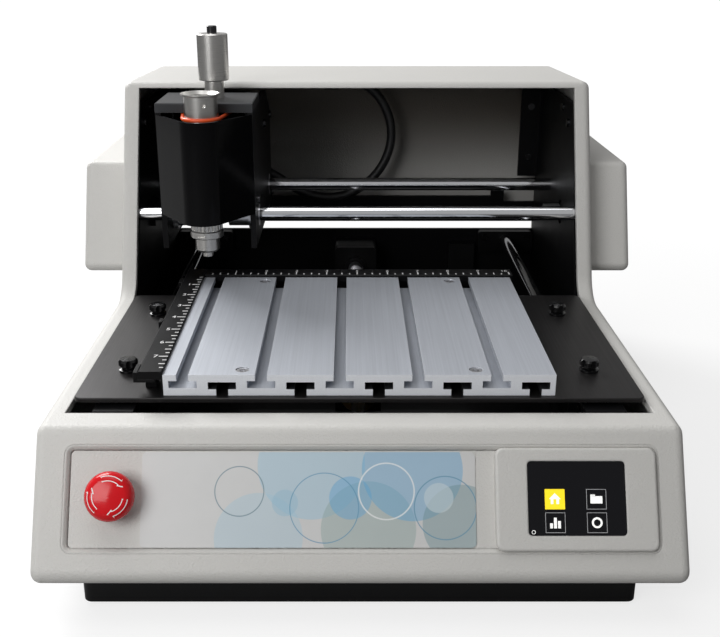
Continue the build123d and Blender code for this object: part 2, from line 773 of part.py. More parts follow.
# Carriage under the deck, with its bushings and drive nut
carriage_deck = 4.0
bearing_block_length = 40.0
bearing_block_width = 34.0
bearing_block_bottom_z = y_rail_z - 15.0
nut_block_bottom_z = y_screw_z - 14.0
nut_block_width = 34.0
y_nut_y = -96.0
with BuildPart() as y_carriage:
    with BuildSketch(Plane.XY.offset(deck_bottom_z)):
        with Locations((0, sum(knob_y) / 2)):
            Rectangle(
                2 * knob_x + bearing_block_width, knob_y[1] - knob_y[0] + bearing_block_length + 4
            )
    extrude(amount=-carriage_deck)
    carriage_deck_z = deck_bottom_z - carriage_deck
    for side in (-1, 1):
        for block_y in knob_y:
            with BuildSketch(Plane.XZ.offset(-(block_y - bearing_block_length / 2))):
                with Locations((side * knob_x, (carriage_deck_z + bearing_block_bottom_z) / 2)):
                    Rectangle(bearing_block_width, carriage_deck_z - bearing_block_bottom_z)
            extrude(amount=-bearing_block_length)
    with BuildSketch(Plane.XZ.offset(-(y_nut_y - 8))):
        with Locations((0, (carriage_deck_z + nut_block_bottom_z) / 2)):
            Rectangle(nut_block_width, carriage_deck_z - nut_block_bottom_z)
    extrude(amount=-16)
    for side in (-1, 1):
        for block_y in knob_y:
            with BuildSketch(Plane.XZ.offset(-(block_y - bearing_block_length / 2 - 1))):
                with Locations((side * knob_x, y_rail_z)):
                    Circle(bushing_radius + rail_fit)
            extrude(amount=-(bearing_block_length + 2), mode=Mode.SUBTRACT)
    with BuildSketch(Plane.XZ.offset(-(y_nut_y - 9))):
        with Locations((0, y_screw_z)):
            Circle(9 + rail_fit)
    extrude(amount=-18, mode=Mode.SUBTRACT)
    with BuildSketch(Plane.XY.offset(deck_bottom_z + 1)):
        with Locations(*knob_spots):
            Circle(knob_stud_radius + rail_fit)
    extrude(amount=-(deck_bottom_z + 1 - stud_bottom_z + 0.3), mode=Mode.SUBTRACT)
save(y_carriage.part, "y_carriage")

with BuildPart() as y_bearings:
    for side in (-1, 1):
        for block_y in knob_y:
            with BuildSketch(Plane.XZ.offset(-(block_y - bushing_length / 2))):
                with Locations((side * knob_x, y_rail_z)):
                    Circle(bushing_radius)
                    Circle(rail_radius + running_gap, mode=Mode.SUBTRACT)
            extrude(amount=-bushing_length)
save(y_bearings.part, "y_bearings")

with BuildPart() as y_nut:
    with BuildSketch(Plane.XZ.offset(-(y_nut_y - 12))):
        with Locations((0, y_screw_z)):
            Circle(13)
            Circle(y_screw_radius + running_gap, mode=Mode.SUBTRACT)
    extrude(amount=-4)
    with BuildSketch(Plane.XZ.offset(-(y_nut_y - 8))):
        with Locations((0, y_screw_z)):
            Circle(9)
            Circle(y_screw_radius + running_gap, mode=Mode.SUBTRACT)
    extrude(amount=-22)
save(y_nut.part, "y_nut")

# X carriage: two side plates, back plate, middle plate and top block
carriage_left_x = carriage_center_x - carriage_width / 2
carriage_right_x = carriage_center_x + carriage_width / 2
inner_left_x = carriage_left_x + carriage_plate
inner_right_x = carriage_right_x - carriage_plate
slant_run = 38.0
slant_drop = 22.4
for plate_x, plate_name in (
    (carriage_left_x, "carriage_left_plate"), (inner_right_x, "carriage_right_plate")
):
    with BuildPart() as side_plate:
        with BuildSketch(Plane.YZ.offset(plate_x)):
            with BuildLine():
                Polyline(
                    (carriage_front_y, carriage_bottom_z),
                    (carriage_front_y, top_block_z),
                    (carriage_rear_y - slant_run, top_block_z),
                    (carriage_rear_y, top_block_z - slant_drop),
                    (carriage_rear_y, carriage_bottom_z),
                    close=True,
                )
            make_face()
            with Locations((front_x_rail_y, x_rail_z), (rear_x_rail_y, x_rail_z)):
                Circle(bushing_radius + rail_fit, mode=Mode.SUBTRACT)
            with Locations((x_screw_y, x_screw_z)):
                Circle(7 + rail_fit, mode=Mode.SUBTRACT)
        extrude(amount=carriage_plate)
    save(side_plate.part, plate_name)

back_plate = 4.0
back_plate_y = carriage_rear_y - back_plate
back_plate_top_z = top_block_z - slant_drop - 4.0
cable_plane_y = 234.0
cable_exit_x, cable_exit_z = carriage_center_x + 17.8, 186.9
cable_boss_radius = 7.0
cable_boss_depth = 8.0
with BuildPart() as carriage_back_plate:
    with BuildSketch(Plane.XZ.offset(-back_plate_y)):
        with Locations((carriage_center_x, (carriage_bottom_z + back_plate_top_z) / 2)):
            Rectangle(inner_right_x - inner_left_x, back_plate_top_z - carriage_bottom_z)
    extrude(amount=-back_plate)
    # Boss on the inner side, where the head cable enters
    with BuildSketch(Plane.XZ.offset(-back_plate_y)):
        with Locations((cable_exit_x, cable_exit_z)):
            Circle(cable_boss_radius)
    extrude(amount=cable_boss_depth)
save(carriage_back_plate.part, "carriage_back_plate")

middle_plate_z = 189.0
middle_plate = 4.0
middle_front_y = carriage_front_y + 5.0
middle_rear_y = 90.0
z_shaft_x = (carriage_center_x - z_shaft_spacing / 2, carriage_center_x + z_shaft_spacing / 2)
with BuildPart() as carriage_middle_plate:
    with BuildSketch(Plane.XY.offset(middle_plate_z)):
        with Locations((carriage_center_x, (middle_front_y + middle_rear_y) / 2)):
            Rectangle(inner_right_x - inner_left_x, middle_rear_y - middle_front_y)
        with Locations(*[(x, z_axis_y) for x in z_shaft_x]):
            Circle(z_shaft_radius + rail_fit, mode=Mode.SUBTRACT)
        with Locations((z_screw_x, z_axis_y)):
            Circle(z_screw_radius + running_gap, mode=Mode.SUBTRACT)
    extrude(amount=middle_plate)
save(carriage_middle_plate.part, "carriage_middle_plate")

brim_gap = 1.2
shaft_seat = 5.0
with BuildPart() as top_block:
    with BuildSketch(Plane.XY.offset(top_block_z)):
        with Locations((carriage_center_x, carriage_front_y + top_block_depth / 2)):
            Rectangle(carriage_width, top_block_depth)
        with Locations((z_screw_x, z_axis_y)):
            Circle(z_screw_radius + running_gap, mode=Mode.SUBTRACT)
        with Locations((spindle_x, spindle_y)):
            Circle(brim_radius + brim_gap, mode=Mode.SUBTRACT)
    extrude(amount=top_block_thickness)
    with BuildSketch(Plane.XY.offset(top_block_z)):
        with Locations(*[(x, z_axis_y) for x in z_shaft_x]):
            Circle(z_shaft_radius + rail_fit)
    extrude(amount=shaft_seat, mode=Mode.SUBTRACT)
    chamfer(top_block.faces().sort_by(Axis.Z)[-1].outer_wire().edges(), length=0.8)
save(top_block.part, "top_block")

with BuildPart() as x_bearings:
    for rail_y in (front_x_rail_y, rear_x_rail_y):
        for start_x, flange_x in ((carriage_left_x, inner_left_x), (carriage_right_x, inner_right_x)):
            inward = 1 if start_x == carriage_left_x else -1
            with BuildSketch(Plane.YZ.offset(start_x)):
                with Locations((rail_y, x_rail_z)):
                    Circle(bushing_radius)
                    Circle(rail_radius + running_gap, mode=Mode.SUBTRACT)
            extrude(amount=inward * bushing_length)
            with BuildSketch(Plane.YZ.offset(flange_x)):
                with Locations((rail_y, x_rail_z)):
                    Circle(bushing_radius + 2.4)
                    Circle(rail_radius + running_gap, mode=Mode.SUBTRACT)
            extrude(amount=inward * 4)
save(x_bearings.part, "x_bearings")

with BuildPart() as x_nut:
    with BuildSketch(Plane.YZ.offset(carriage_left_x)):
        with Locations((x_screw_y, x_screw_z)):
            Circle(7)
            Circle(x_screw_radius + running_gap, mode=Mode.SUBTRACT)
    extrude(amount=22)
    with BuildSketch(Plane.YZ.offset(inner_left_x)):
        with Locations((x_screw_y, x_screw_z)):
            Rectangle(28, 15.6)
            Circle(x_screw_radius + running_gap, mode=Mode.SUBTRACT)
    extrude(amount=4)
save(x_nut.part, "x_nut")

# Screws in the carriage's side plates
screw_head_radius = 3.4
upper_screw_drop = 24.4
rear_screw_drop = 26.6
rear_screw_inset = 8.6
middle_screw_inset = 22.0
low_screw_inset = 6.0
low_screw_rise = 9.0
side_screw_spots = (
    (motor_pulley_y + 3.2, top_block_z - upper_screw_drop),
    (carriage_rear_y - rear_screw_inset, top_block_z - rear_screw_drop),
    (carriage_front_y + middle_screw_inset, middle_plate_z + middle_plate / 2),
    (carriage_rear_y - low_screw_inset, carriage_bottom_z + low_screw_rise),
)
with BuildPart() as carriage_screws:
    for start_x, outward in ((carriage_left_x, -1), (carriage_right_x, 1)):
        with BuildSketch(Plane.YZ.offset(start_x)):
            with Locations(*side_screw_spots):
                Circle(screw_head_radius)
        extrude(amount=outward * 2.2)
        with BuildSketch(Plane.YZ.offset(start_x + outward * 2.2)):
            with Locations(*side_screw_spots):
                RegularPolygon(1.7, 6)
        extrude(amount=-outward * 1.4, mode=Mode.SUBTRACT)
save(carriage_screws.part, "carriage_screws")

# Z motor on the top block, Z guide shafts and Z lead screw
neck_radius, barrel_radius, z_cap_radius = 8.0, 12.5, 4.0
neck_length = 14.0
barrel_length = 37.0
z_cap_length = 6.0
top_face_z = top_block_z + top_block_thickness
neck_top_z = top_face_z + neck_length
barrel_top_z = neck_top_z + barrel_length
z_cap_top_z = barrel_top_z + z_cap_length
with BuildPart() as z_motor:
    with BuildSketch(Plane.XZ.offset(-z_axis_y)):
        with BuildLine():
            z_profile = [
                (0, top_face_z), (neck_radius, top_face_z), (neck_radius, neck_top_z - 1.5),
                (neck_radius - 0.8, neck_top_z - 1.5), (neck_radius - 0.8, neck_top_z),
                (barrel_radius - 0.7, neck_top_z), (barrel_radius, neck_top_z + 0.7),
                (barrel_radius, barrel_top_z - 0.7), (barrel_radius - 0.7, barrel_top_z),
                (z_cap_radius, barrel_top_z), (z_cap_radius, z_cap_top_z - 0.6),
                (z_cap_radius - 0.6, z_cap_top_z), (0, z_cap_top_z),
            ]
            Polyline(*[(z_screw_x + r, z) for r, z in z_profile], close=True)
        make_face()
    revolve(axis=Axis((z_screw_x, z_axis_y, 0), (0, 0, 1)))
    with BuildSketch(Plane.XY.offset(top_face_z)):
        with Locations((z_screw_x, z_axis_y)):
            Circle(z_screw_radius + running_gap)
    extrude(amount=10, mode=Mode.SUBTRACT)
save(z_motor.part, "z_motor")

with BuildPart() as z_guide_shafts:
    with BuildSketch(Plane.XY.offset(middle_plate_z)):
        with Locations(*[(x, z_axis_y) for x in z_shaft_x]):
            Circle(z_shaft_radius)
    extrude(amount=top_block_z + shaft_seat - middle_plate_z)
save(z_guide_shafts.part, "z_guide_shafts")

with BuildPart() as z_screw:
    with BuildSketch(Plane.XY.offset(middle_plate_z)):
        with Locations((z_screw_x, z_axis_y)):
            Circle(z_screw_radius)
    extrude(amount=top_face_z + 9 - middle_plate_z)
save(z_screw.part, "z_screw")

# Z slide: guide block, arm and motor clamp in one casting
slide_bottom_z, slide_top_z = 211.0, 255.0
slide_front_y, slide_rear_y = 44.0, 74.0
clamp_bottom_z, clamp_top_z = 215.0, 236.0
spindle_motor_radius = 21.0
clamp_radius = 25.0
arm_width = 30.0
arm_root = 2.0
with BuildPart() as z_slide:
    with BuildSketch(Plane.XY.offset(slide_bottom_z)):
        with Locations((carriage_center_x, (slide_front_y + slide_rear_y) / 2)):
            RectangleRounded(inner_right_x - inner_left_x - 1.2, slide_rear_y - slide_front_y, 3)
    extrude(amount=slide_top_z - slide_bottom_z)
    with BuildSketch(Plane.XY.offset(clamp_bottom_z)):
        with Locations((carriage_center_x, (slide_rear_y - arm_root + motor_pulley_y) / 2)):
            Rectangle(arm_width, motor_pulley_y - slide_rear_y + arm_root)
        with Locations((carriage_center_x, motor_pulley_y)):
            Circle(clamp_radius)
    extrude(amount=clamp_top_z - clamp_bottom_z)
    with BuildSketch(Plane.XY.offset(slide_bottom_z)):
        with Locations((carriage_center_x, motor_pulley_y)):
            Circle(spindle_motor_radius + rail_fit)
        with Locations(*[(x, z_axis_y) for x in z_shaft_x]):
            Circle(z_shaft_radius + running_gap)
        with Locations((z_screw_x, z_axis_y)):
            Circle(z_screw_radius + running_gap)
    extrude(amount=slide_top_z - slide_bottom_z, mode=Mode.SUBTRACT)
save(z_slide.part, "z_slide")

# Spindle housing bolted to the front of the slide
housing_bottom_z, housing_top_z = 188.0, 259.0
with BuildPart() as spindle_housing:
    with BuildSketch(Plane.XY.offset(slide_bottom_z)):
        with Locations((spindle_x, (spindle_y + slide_front_y) / 2)):
            Rectangle(28, slide_front_y - spindle_y)
    extrude(amount=slide_top_z - slide_bottom_z)
    with BuildSketch(Plane.XY.offset(housing_bottom_z)):
        with Locations((spindle_x, spindle_y)):
            Circle(housing_radius)
    extrude(amount=housing_top_z - housing_bottom_z)
    with BuildSketch(Plane.XY.offset(housing_bottom_z)):
        with Locations((spindle_x, spindle_y)):
            Circle(spindle_radius + running_gap)
    extrude(amount=housing_top_z - housing_bottom_z, mode=Mode.SUBTRACT)
save(spindle_housing.part, "spindle_housing")

# Glossy spindle cover: flat flanks running into a round nose, open at the back
cover_rear_y = carriage_front_y - 0.5
cover_half = carriage_width / 2 - 0.5


def cover_outline(inset):
    """Plan of the cover: two straight flanks tangent to the nose arc, pulled in by inset."""
    nose = (carriage_center_x, cover_nose_y)
    radius = cover_nose_radius - inset
    corner = Vector(cover_half, cover_rear_y - cover_nose_y)
    reach = sqrt(corner.X**2 + corner.Y**2)
    flank_angle = atan2(corner.Y, corner.X) + pi / 2 + pi / 2 - atan2(
        sqrt(reach**2 - cover_nose_radius**2), cover_nose_radius
    ) - pi
    touch = (radius * cos(flank_angle), radius * sin(flank_angle))
    run = sqrt(reach**2 - cover_nose_radius**2)
    along = (-sin(flank_angle), cos(flank_angle))
    end = (touch[0] + run * along[0], touch[1] + run * along[1])
    with BuildSketch(Plane.XY.offset(cover_bottom_z)) as plan:
        with BuildLine():
            Line((nose[0] + end[0], nose[1] + end[1]), (nose[0] + touch[0], nose[1] + touch[1]))
            ThreePointArc(
                (nose[0] + touch[0], nose[1] + touch[1]),
                (nose[0], nose[1] - radius),
                (nose[0] - touch[0], nose[1] + touch[1]),
            )
            Line((nose[0] - touch[0], nose[1] + touch[1]), (nose[0] - end[0], nose[1] + end[1]))
            Line((nose[0] - end[0], nose[1] + end[1]), (nose[0] + end[0], nose[1] + end[1]))
        make_face()
    return plan.sketch


with BuildPart() as spindle_cover:
    add(cover_outline(0))
    extrude(amount=cover_top_z - cover_bottom_z)
    add(cover_outline(cover_wall))
    extrude(amount=cover_top_z - cover_bottom_z, mode=Mode.SUBTRACT)
    # Inward flanges that screw to the housing's web
    for side in (-1, 1):
        web_x = spindle_x + side * 14
        edge_x = carriage_center_x + side * (cover_half - 2.2)
        with BuildSketch(Plane.XY.offset(slide_bottom_z + 4)):
            with Locations(((web_x + edge_x) / 2, cover_rear_y - 1.5)):
                Rectangle(abs(edge_x - web_x), 3)
        extrude(amount=32)
save(spindle_cover.part, "spindle_cover")

# Spindle with its open collar pulley
collar_bottom_z, collar_top_z = 260.0, 284.6
shaft_bottom_z = 171.0
collar_floor_z = collar_top_z - 10.6
clamp_hole_z = collar_floor_z + 2.2
clamp_hole_radius = 1.5
clamp_hole_angle = radians(18)
with BuildPart() as spindle_shaft:
    with BuildSketch(Plane.XZ.offset(-spindle_y)):
        with BuildLine():
            shaft_profile = [
                (tool_bore_radius, shaft_bottom_z), (spindle_radius, shaft_bottom_z),
                (spindle_radius, collar_bottom_z), (collar_radius + 1.6, collar_bottom_z),
                (collar_radius + 1.6, belt_z - belt_radius - 1.2), (collar_radius, belt_z - belt_radius),
                (collar_radius, collar_top_z - 2.2), (brim_radius, collar_top_z - 1.0),
                (brim_radius, collar_top_z), (brim_radius - 1.4, collar_top_z),
                (collar_radius - 2.6, collar_top_z - 2.4), (collar_radius - 2.6, collar_floor_z),
                (tool_bore_radius, collar_floor_z),
            ]
            Polyline(*[(spindle_x + r, z) for r, z in shaft_profile], close=True)
        make_face()
    revolve(axis=Axis((spindle_x, spindle_y, 0), (0, 0, 1)))
    with BuildSketch(
        Plane(
            origin=(spindle_x, spindle_y, clamp_hole_z),
            x_dir=(cos(clamp_hole_angle), sin(clamp_hole_angle), 0),
            z_dir=(sin(clamp_hole_angle), -cos(clamp_hole_angle), 0),
        )
    ):
        Circle(clamp_hole_radius)
    extrude(amount=collar_radius + 2, mode=Mode.SUBTRACT)
save(spindle_shaft.part, "spindle_shaft")

# Knurled depth nose under the housing
flange_radius = 13.65
knurl_radius = 12.9
barrel_nose_radius = 10.0
tip_radius = 4.5
nose_bore = spindle_radius + 0.4
nose_top_z = housing_bottom_z - 1.0
knurl_bottom_z = nose_top_z - 11.5
nose_flange_z = knurl_bottom_z - 6.5
nose_barrel_z = nose_flange_z - 12.0
knurl_count = 24
knurl_depth = 0.9
dial_slot_width = 1.3
with BuildPart() as nose_dial:
    with BuildSketch(Plane.XZ.offset(-spindle_y)):
        with BuildLine():
            nose_profile = [
                (nose_bore, nose_top_z), (knurl_radius, nose_top_z), (knurl_radius, knurl_bottom_z),
                (flange_radius, knurl_bottom_z - 0.9), (flange_radius, nose_flange_z + 0.8),
                (flange_radius - 0.8, nose_flange_z), (barrel_nose_radius, nose_flange_z),
                (barrel_nose_radius, nose_barrel_z + 2), (barrel_nose_radius - 1.8, nose_barrel_z),
                (tip_radius + 0.4, nose_barrel_z), (tip_radius, nose_barrel_z - 1),
                (tip_radius, nose_tip_z + 0.8), (tip_radius - 0.8, nose_tip_z),
                (tool_bore_radius + 0.5, nose_tip_z), (tool_bore_radius + 0.5, nose_barrel_z + 3),
                (nose_bore, nose_flange_z + 1),
            ]
            Polyline(*[(spindle_x + r, z) for r, z in nose_profile], close=True)
        make_face()
    revolve(axis=Axis((spindle_x, spindle_y, 0), (0, 0, 1)))
    with BuildSketch(Plane.XY.offset(nose_top_z)):
        with Locations((spindle_x, spindle_y)):
            with PolarLocations(knurl_radius + 0.45, knurl_count):
                Rectangle(2 * knurl_depth, 2 * knurl_depth, rotation=45)
    extrude(amount=knurl_bottom_z + 0.5 - nose_top_z, mode=Mode.SUBTRACT)
    with BuildSketch(Plane.XZ.offset(-spindle_y + flange_radius - 1.6)):
        with Locations((spindle_x - 4.6, nose_flange_z + 3)):
            SlotOverall(9, dial_slot_width)
    extrude(amount=3, mode=Mode.SUBTRACT)
save(nose_dial.part, "nose_dial")

# Motor that drives the spindle, its pulley and the round belt
spindle_motor_bottom_z, spindle_motor_top_z = 197.0, 258.0
with BuildPart() as spindle_motor:
    with BuildSketch(Plane.XY.offset(spindle_motor_bottom_z)):
        with Locations((carriage_center_x, motor_pulley_y)):
            Circle(spindle_motor_radius)
    extrude(amount=spindle_motor_top_z - spindle_motor_bottom_z)
    chamfer(spindle_motor.faces().filter_by(Plane.XY).edges(), length=1.5)
    with BuildSketch(Plane.XY.offset(spindle_motor_top_z)):
        with Locations((carriage_center_x, motor_pulley_y)):
            Circle(motor_shaft_radius + running_gap)
    extrude(amount=-12, mode=Mode.SUBTRACT)
save(spindle_motor.part, "spindle_motor")

pulley_rim = motor_pulley_radius + 3.0
pulley_half_height = 3.6
groove_half_height = 3.0
web_rise = 1.5
hub_radius = 8.0
hub_neck_radius = 7.0
shaft_grip = 10.0
with BuildPart() as motor_pulley:
    with BuildSketch(Plane.XZ.offset(-motor_pulley_y)):
        with BuildLine():
            pulley_profile = [
                (0, spindle_motor_top_z - shaft_grip),
                (motor_shaft_radius, spindle_motor_top_z - shaft_grip),
                (motor_shaft_radius, spindle_motor_top_z + 1),
                (hub_neck_radius, spindle_motor_top_z + 1),
                (hub_neck_radius, belt_z - pulley_half_height),
                (pulley_rim, belt_z - pulley_half_height),
                (pulley_rim, belt_z - groove_half_height),
                (motor_pulley_radius, belt_z - belt_radius - 0.1),
                (motor_pulley_radius, belt_z + belt_radius + 0.1),
                (pulley_rim, belt_z + groove_half_height),
                (pulley_rim, belt_z + pulley_half_height),
                (pulley_rim - 4, belt_z + pulley_half_height),
                (pulley_rim - 5, belt_z + web_rise),
                (hub_radius, belt_z + web_rise), (hub_radius, belt_z + pulley_half_height),
                (0, belt_z + pulley_half_height),
            ]
            Polyline(*[(carriage_center_x + r, z) for r, z in pulley_profile], close=True)
        make_face()
    revolve(axis=Axis((carriage_center_x, motor_pulley_y, 0), (0, 0, 1)))
save(motor_pulley.part, "motor_pulley")

# Round drive belt on tangent lines between the two pulleys
belt_gap = 0.1
small_wrap = collar_radius + belt_radius + belt_gap
large_wrap = motor_pulley_radius + belt_radius + belt_gap
run_x, run_y = carriage_center_x - spindle_x, motor_pulley_y - spindle_y
center_distance = sqrt(run_x**2 + run_y**2)
heading = atan2(run_y, run_x)
spread = atan2(large_wrap - small_wrap, sqrt(center_distance**2 - (large_wrap - small_wrap) ** 2))


def belt_contact(center_x, center_y, radius, side):
    """Point where a straight belt run touches a pulley, on one side of the centre line."""
    angle = heading + side * (pi / 2 + spread)
    return (center_x + radius * cos(angle), center_y + radius * sin(angle))


def beyond(center_x, center_y, radius, direction):
    """Point of a pulley's belt circle that lies furthest along the centre line."""
    return (center_x + direction * radius * cos(heading), center_y + direction * radius * sin(heading))


with BuildPart() as drive_belt:
    with BuildLine(Plane.XY.offset(belt_z)):
        small_left = belt_contact(spindle_x, spindle_y, small_wrap, 1)
        small_right = belt_contact(spindle_x, spindle_y, small_wrap, -1)
        large_left = belt_contact(carriage_center_x, motor_pulley_y, large_wrap, 1)
        large_right = belt_contact(carriage_center_x, motor_pulley_y, large_wrap, -1)
        Line(small_left, large_left)
        ThreePointArc(
            large_left, beyond(carriage_center_x, motor_pulley_y, large_wrap, 1), large_right
        )
        Line(large_right, small_right)
        ThreePointArc(small_right, beyond(spindle_x, spindle_y, small_wrap, -1), small_left)
    with BuildSketch(
        Plane(
            origin=(small_left[0], small_left[1], belt_z),
            x_dir=(0, 0, 1),
            z_dir=(large_left[0] - small_left[0], large_left[1] - small_left[1], 0),
        )
    ):
        Circle(belt_radius)
    sweep()
save(drive_belt.part, "drive_belt")

# Power inlet on the rear base plate, with its rocker switch
rocker_z = inlet_z + 13.0
rocker_radius = 7.0
rocker_half_width = 5.5
inlet_depth = 12.0
inlet_rim_thickness = 2.5
socket_depth = 14.0
inlet_front_y = rear_plate_y - inlet_depth
inlet_face_y = rear_plate_y + gantry_thickness + inlet_rim_thickness
with BuildPart() as power_inlet:
    with BuildSketch(Plane.XZ.offset(-inlet_front_y)):
        with Locations((inlet_x, inlet_z)):
            Rectangle(inlet_width - 0.4, inlet_height - 0.4)
    extrude(amount=-(inlet_face_y - inlet_front_y))
    with BuildSketch(Plane.XZ.offset(-(rear_plate_y + gantry_thickness))):
        with Locations((inlet_x, inlet_z)):
            RectangleRounded(inlet_width + inlet_rim, inlet_height + inlet_rim, 3)
    extrude(amount=-inlet_rim_thickness)
    with BuildSketch(Plane.XZ.offset(-inlet_face_y)):
        with BuildLine():
            socket_profile = [(-11, -19), (11, -19), (11, -7), (7, -2), (-7, -2), (-11, -7)]
            Polyline(*[(inlet_x + x, inlet_z + z) for x, z in socket_profile], close=True)
        make_face()
    extrude(amount=socket_depth, mode=Mode.SUBTRACT)
    for pin_x, pin_z in ((-6, 0), (6, 0), (0, 5)):
        with BuildSketch(Plane.XZ.offset(-(inlet_face_y - socket_depth))):
            with Locations((inlet_x + pin_x, inlet_z - 12 + pin_z)):
                Rectangle(1.6, 3)
        extrude(amount=-10)
    with BuildSketch(Plane.YZ.offset(inlet_x - rocker_half_width - 0.4)):
        with Locations((inlet_face_y - 2, rocker_z)):
            Circle(rocker_radius + 0.4)
    extrude(amount=2 * rocker_half_width + 0.8, mode=Mode.SUBTRACT)
save(power_inlet.part, "power_inlet")

rocker_axis_y = inlet_face_y - 2
with BuildPart() as power_switch:
    with BuildSketch(Plane.YZ.offset(inlet_x - rocker_half_width)):
        with Locations((rocker_axis_y, rocker_z)):
            Circle(rocker_radius)
        with BuildLine():
            Polyline(
                (rocker_axis_y + 8, rocker_z - 8),
                (rocker_axis_y + 6.6, rocker_z - 8),
                (rocker_axis_y + 2.2, rocker_z),
                (rocker_axis_y + 3.6, rocker_z + 8),
                (rocker_axis_y + 8, rocker_z + 8),
                close=True,
            )
        make_face(mode=Mode.SUBTRACT)
    extrude(amount=2 * rocker_half_width)
save(power_switch.part, "power_switch")

# Screws that fix the gantry flanges, side plates and rail blocks
rail_screw_spread = 22.5
rail_screw_rise = 3.5
flange_screw_inset = 20.0
side_screw_rows = (46.8, 73.8)
side_screw_drops = (18.0, 8.0)
with BuildPart() as frame_screws:
    rail_block_face_y = rear_plate_y - rail_block_depth + 2
    with BuildSketch(Plane.XZ.offset(-rail_block_face_y)):
        for side in (-1, 1):
            with Locations((side * knob_x, y_rail_z + rail_screw_rise)):
                with GridLocations(2 * rail_screw_spread, 1, 2, 1):
                    Circle(screw_head_radius)
    extrude(amount=2.2)
    with BuildSketch(Plane.XZ.offset(-(rear_plate_y - gantry_thickness))):
        for side in (-1, 1):
            flange_middle_x = side * (gantry_inner_x - gantry_flange / 2)
            with Locations(
                (flange_middle_x, flange_bottom_z + flange_screw_inset),
                (flange_middle_x, gantry_top_z - flange_screw_inset - 4),
            ):
                Circle(screw_head_radius)
    extrude(amount=2.2)
    for side in (-1, 1):
        with BuildSketch(Plane.YZ.offset(side * gantry_inner_x)):
            with Locations(*[
                (front_x_rail_y + run, gantry_top_z - drop)
                for run, drop in zip(side_screw_rows, side_screw_drops)
            ]):
                Circle(screw_head_radius)
        extrude(amount=-side * 2.2)
save(frame_screws.part, "frame_screws")

# Cable gland under the hood's roof, its mouth to the right
gland_mouth_x = -13.0
gland_z = 265.8
gland_depth = 20.0
with BuildPart() as cable_gland:
    with BuildSketch(Plane.YZ.offset(gland_mouth_x - 4)):
        with BuildLine():
            gland_front_y = cable_plane_y - gland_depth / 2
            gland_rear_y = cable_plane_y + gland_depth / 2
            Polyline(
                (gland_front_y, roof_inner_z(gland_front_y)),
                (gland_rear_y, roof_inner_z(gland_rear_y)),
                (gland_rear_y, gland_z - 6),
                (gland_front_y, gland_z - 6),
                close=True,
            )
        make_face()
    extrude(amount=-14)
    with BuildSketch(Plane.YZ.offset(gland_mouth_x)):
        with Locations((cable_plane_y, gland_z)):
            Circle(5.8)
    extrude(amount=-4.5)
save(cable_gland.part, "cable_gland")

# Head cable: a free loop from the gland to the carriage's back, points chosen by hand
cable_end_gap = 0.3
cable_points = [
    (gland_mouth_x + cable_end_gap, cable_plane_y, gland_z),
    (2.1, cable_plane_y, gland_z),
    (17.9, cable_plane_y, 258.1),
    (29.6, cable_plane_y, 241.9),
    (36.3, cable_plane_y, 222.0),
    (35.2, cable_plane_y, 199.6),
    (25.6, cable_plane_y, 178.2),
    (9.3, cable_plane_y, 160.9),
    (-12.6, cable_plane_y, 149.7),
    (-36.5, cable_plane_y, 148.2),
    (cable_exit_x + 45.3, cable_plane_y, 156.3),
    (cable_exit_x + 31.2, cable_plane_y, 166.5),
    (cable_exit_x + 20.0, cable_plane_y, 173.4),
    (cable_exit_x + 10.8, 229.4, 179.6),
    (cable_exit_x + 3.8, 221.0, 184.3),
    (cable_exit_x, 210.0, cable_exit_z),
    (cable_exit_x, carriage_rear_y + cable_end_gap, cable_exit_z),
]
cable_corners = []
for before, here, after in zip(cable_points, cable_points[1:], cable_points[2:]):
    run_in = Vector(*here) - Vector(*before)
    run_out = Vector(*after) - Vector(*here)
    turn = radians(run_in.get_angle(run_out))
    cable_corners.append(0.45 * min(run_in.length, run_out.length) / tan(turn / 2))
print("cable radii", [round(radius, 1) for radius in cable_corners])
with BuildPart() as head_cable:
    with BuildLine() as cable_route:
        FilletPolyline(*cable_points, radius=cable_corners)
    first = Vector(*cable_points[1]) - Vector(*cable_points[0])
    with BuildSketch(Plane(origin=cable_points[0], z_dir=first, x_dir=(0, 1, 0))):
        Circle(cable_radius)
    sweep()
cable_length = sum(edge.length for edge in cable_route.edges())
print("cable volume ratio", head_cable.part.volume / (pi * cable_radius**2 * cable_length))
save(head_cable.part, "head_cable")
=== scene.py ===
"""Looks of the desktop engraving machine: finishes, marks, console face, cable and stage."""
import math

import bmesh
import bpy
from mathutils import Matrix, Vector


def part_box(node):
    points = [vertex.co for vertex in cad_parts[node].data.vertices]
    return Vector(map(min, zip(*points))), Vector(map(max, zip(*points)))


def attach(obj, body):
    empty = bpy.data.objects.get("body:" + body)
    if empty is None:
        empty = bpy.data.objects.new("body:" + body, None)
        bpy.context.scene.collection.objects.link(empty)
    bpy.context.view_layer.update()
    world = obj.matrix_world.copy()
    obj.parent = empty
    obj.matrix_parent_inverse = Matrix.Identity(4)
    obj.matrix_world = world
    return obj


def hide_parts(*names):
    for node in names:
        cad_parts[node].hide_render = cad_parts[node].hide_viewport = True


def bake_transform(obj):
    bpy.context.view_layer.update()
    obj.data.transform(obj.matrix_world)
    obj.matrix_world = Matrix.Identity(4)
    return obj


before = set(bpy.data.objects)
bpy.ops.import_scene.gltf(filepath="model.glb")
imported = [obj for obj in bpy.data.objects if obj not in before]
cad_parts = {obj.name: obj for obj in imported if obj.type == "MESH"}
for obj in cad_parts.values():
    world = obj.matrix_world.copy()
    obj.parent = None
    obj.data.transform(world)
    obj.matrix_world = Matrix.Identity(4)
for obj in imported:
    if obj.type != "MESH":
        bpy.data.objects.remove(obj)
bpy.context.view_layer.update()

bl_info = {
    "name": "Engraving Machine Looks",
    "version": (1, 0, 0),
    "blender": (4, 5, 0),
    "location": "View3D > Sidebar > Engraver",
    "description": "Finishes and fine detail for a desktop engraving machine",
    "category": "Object",
}

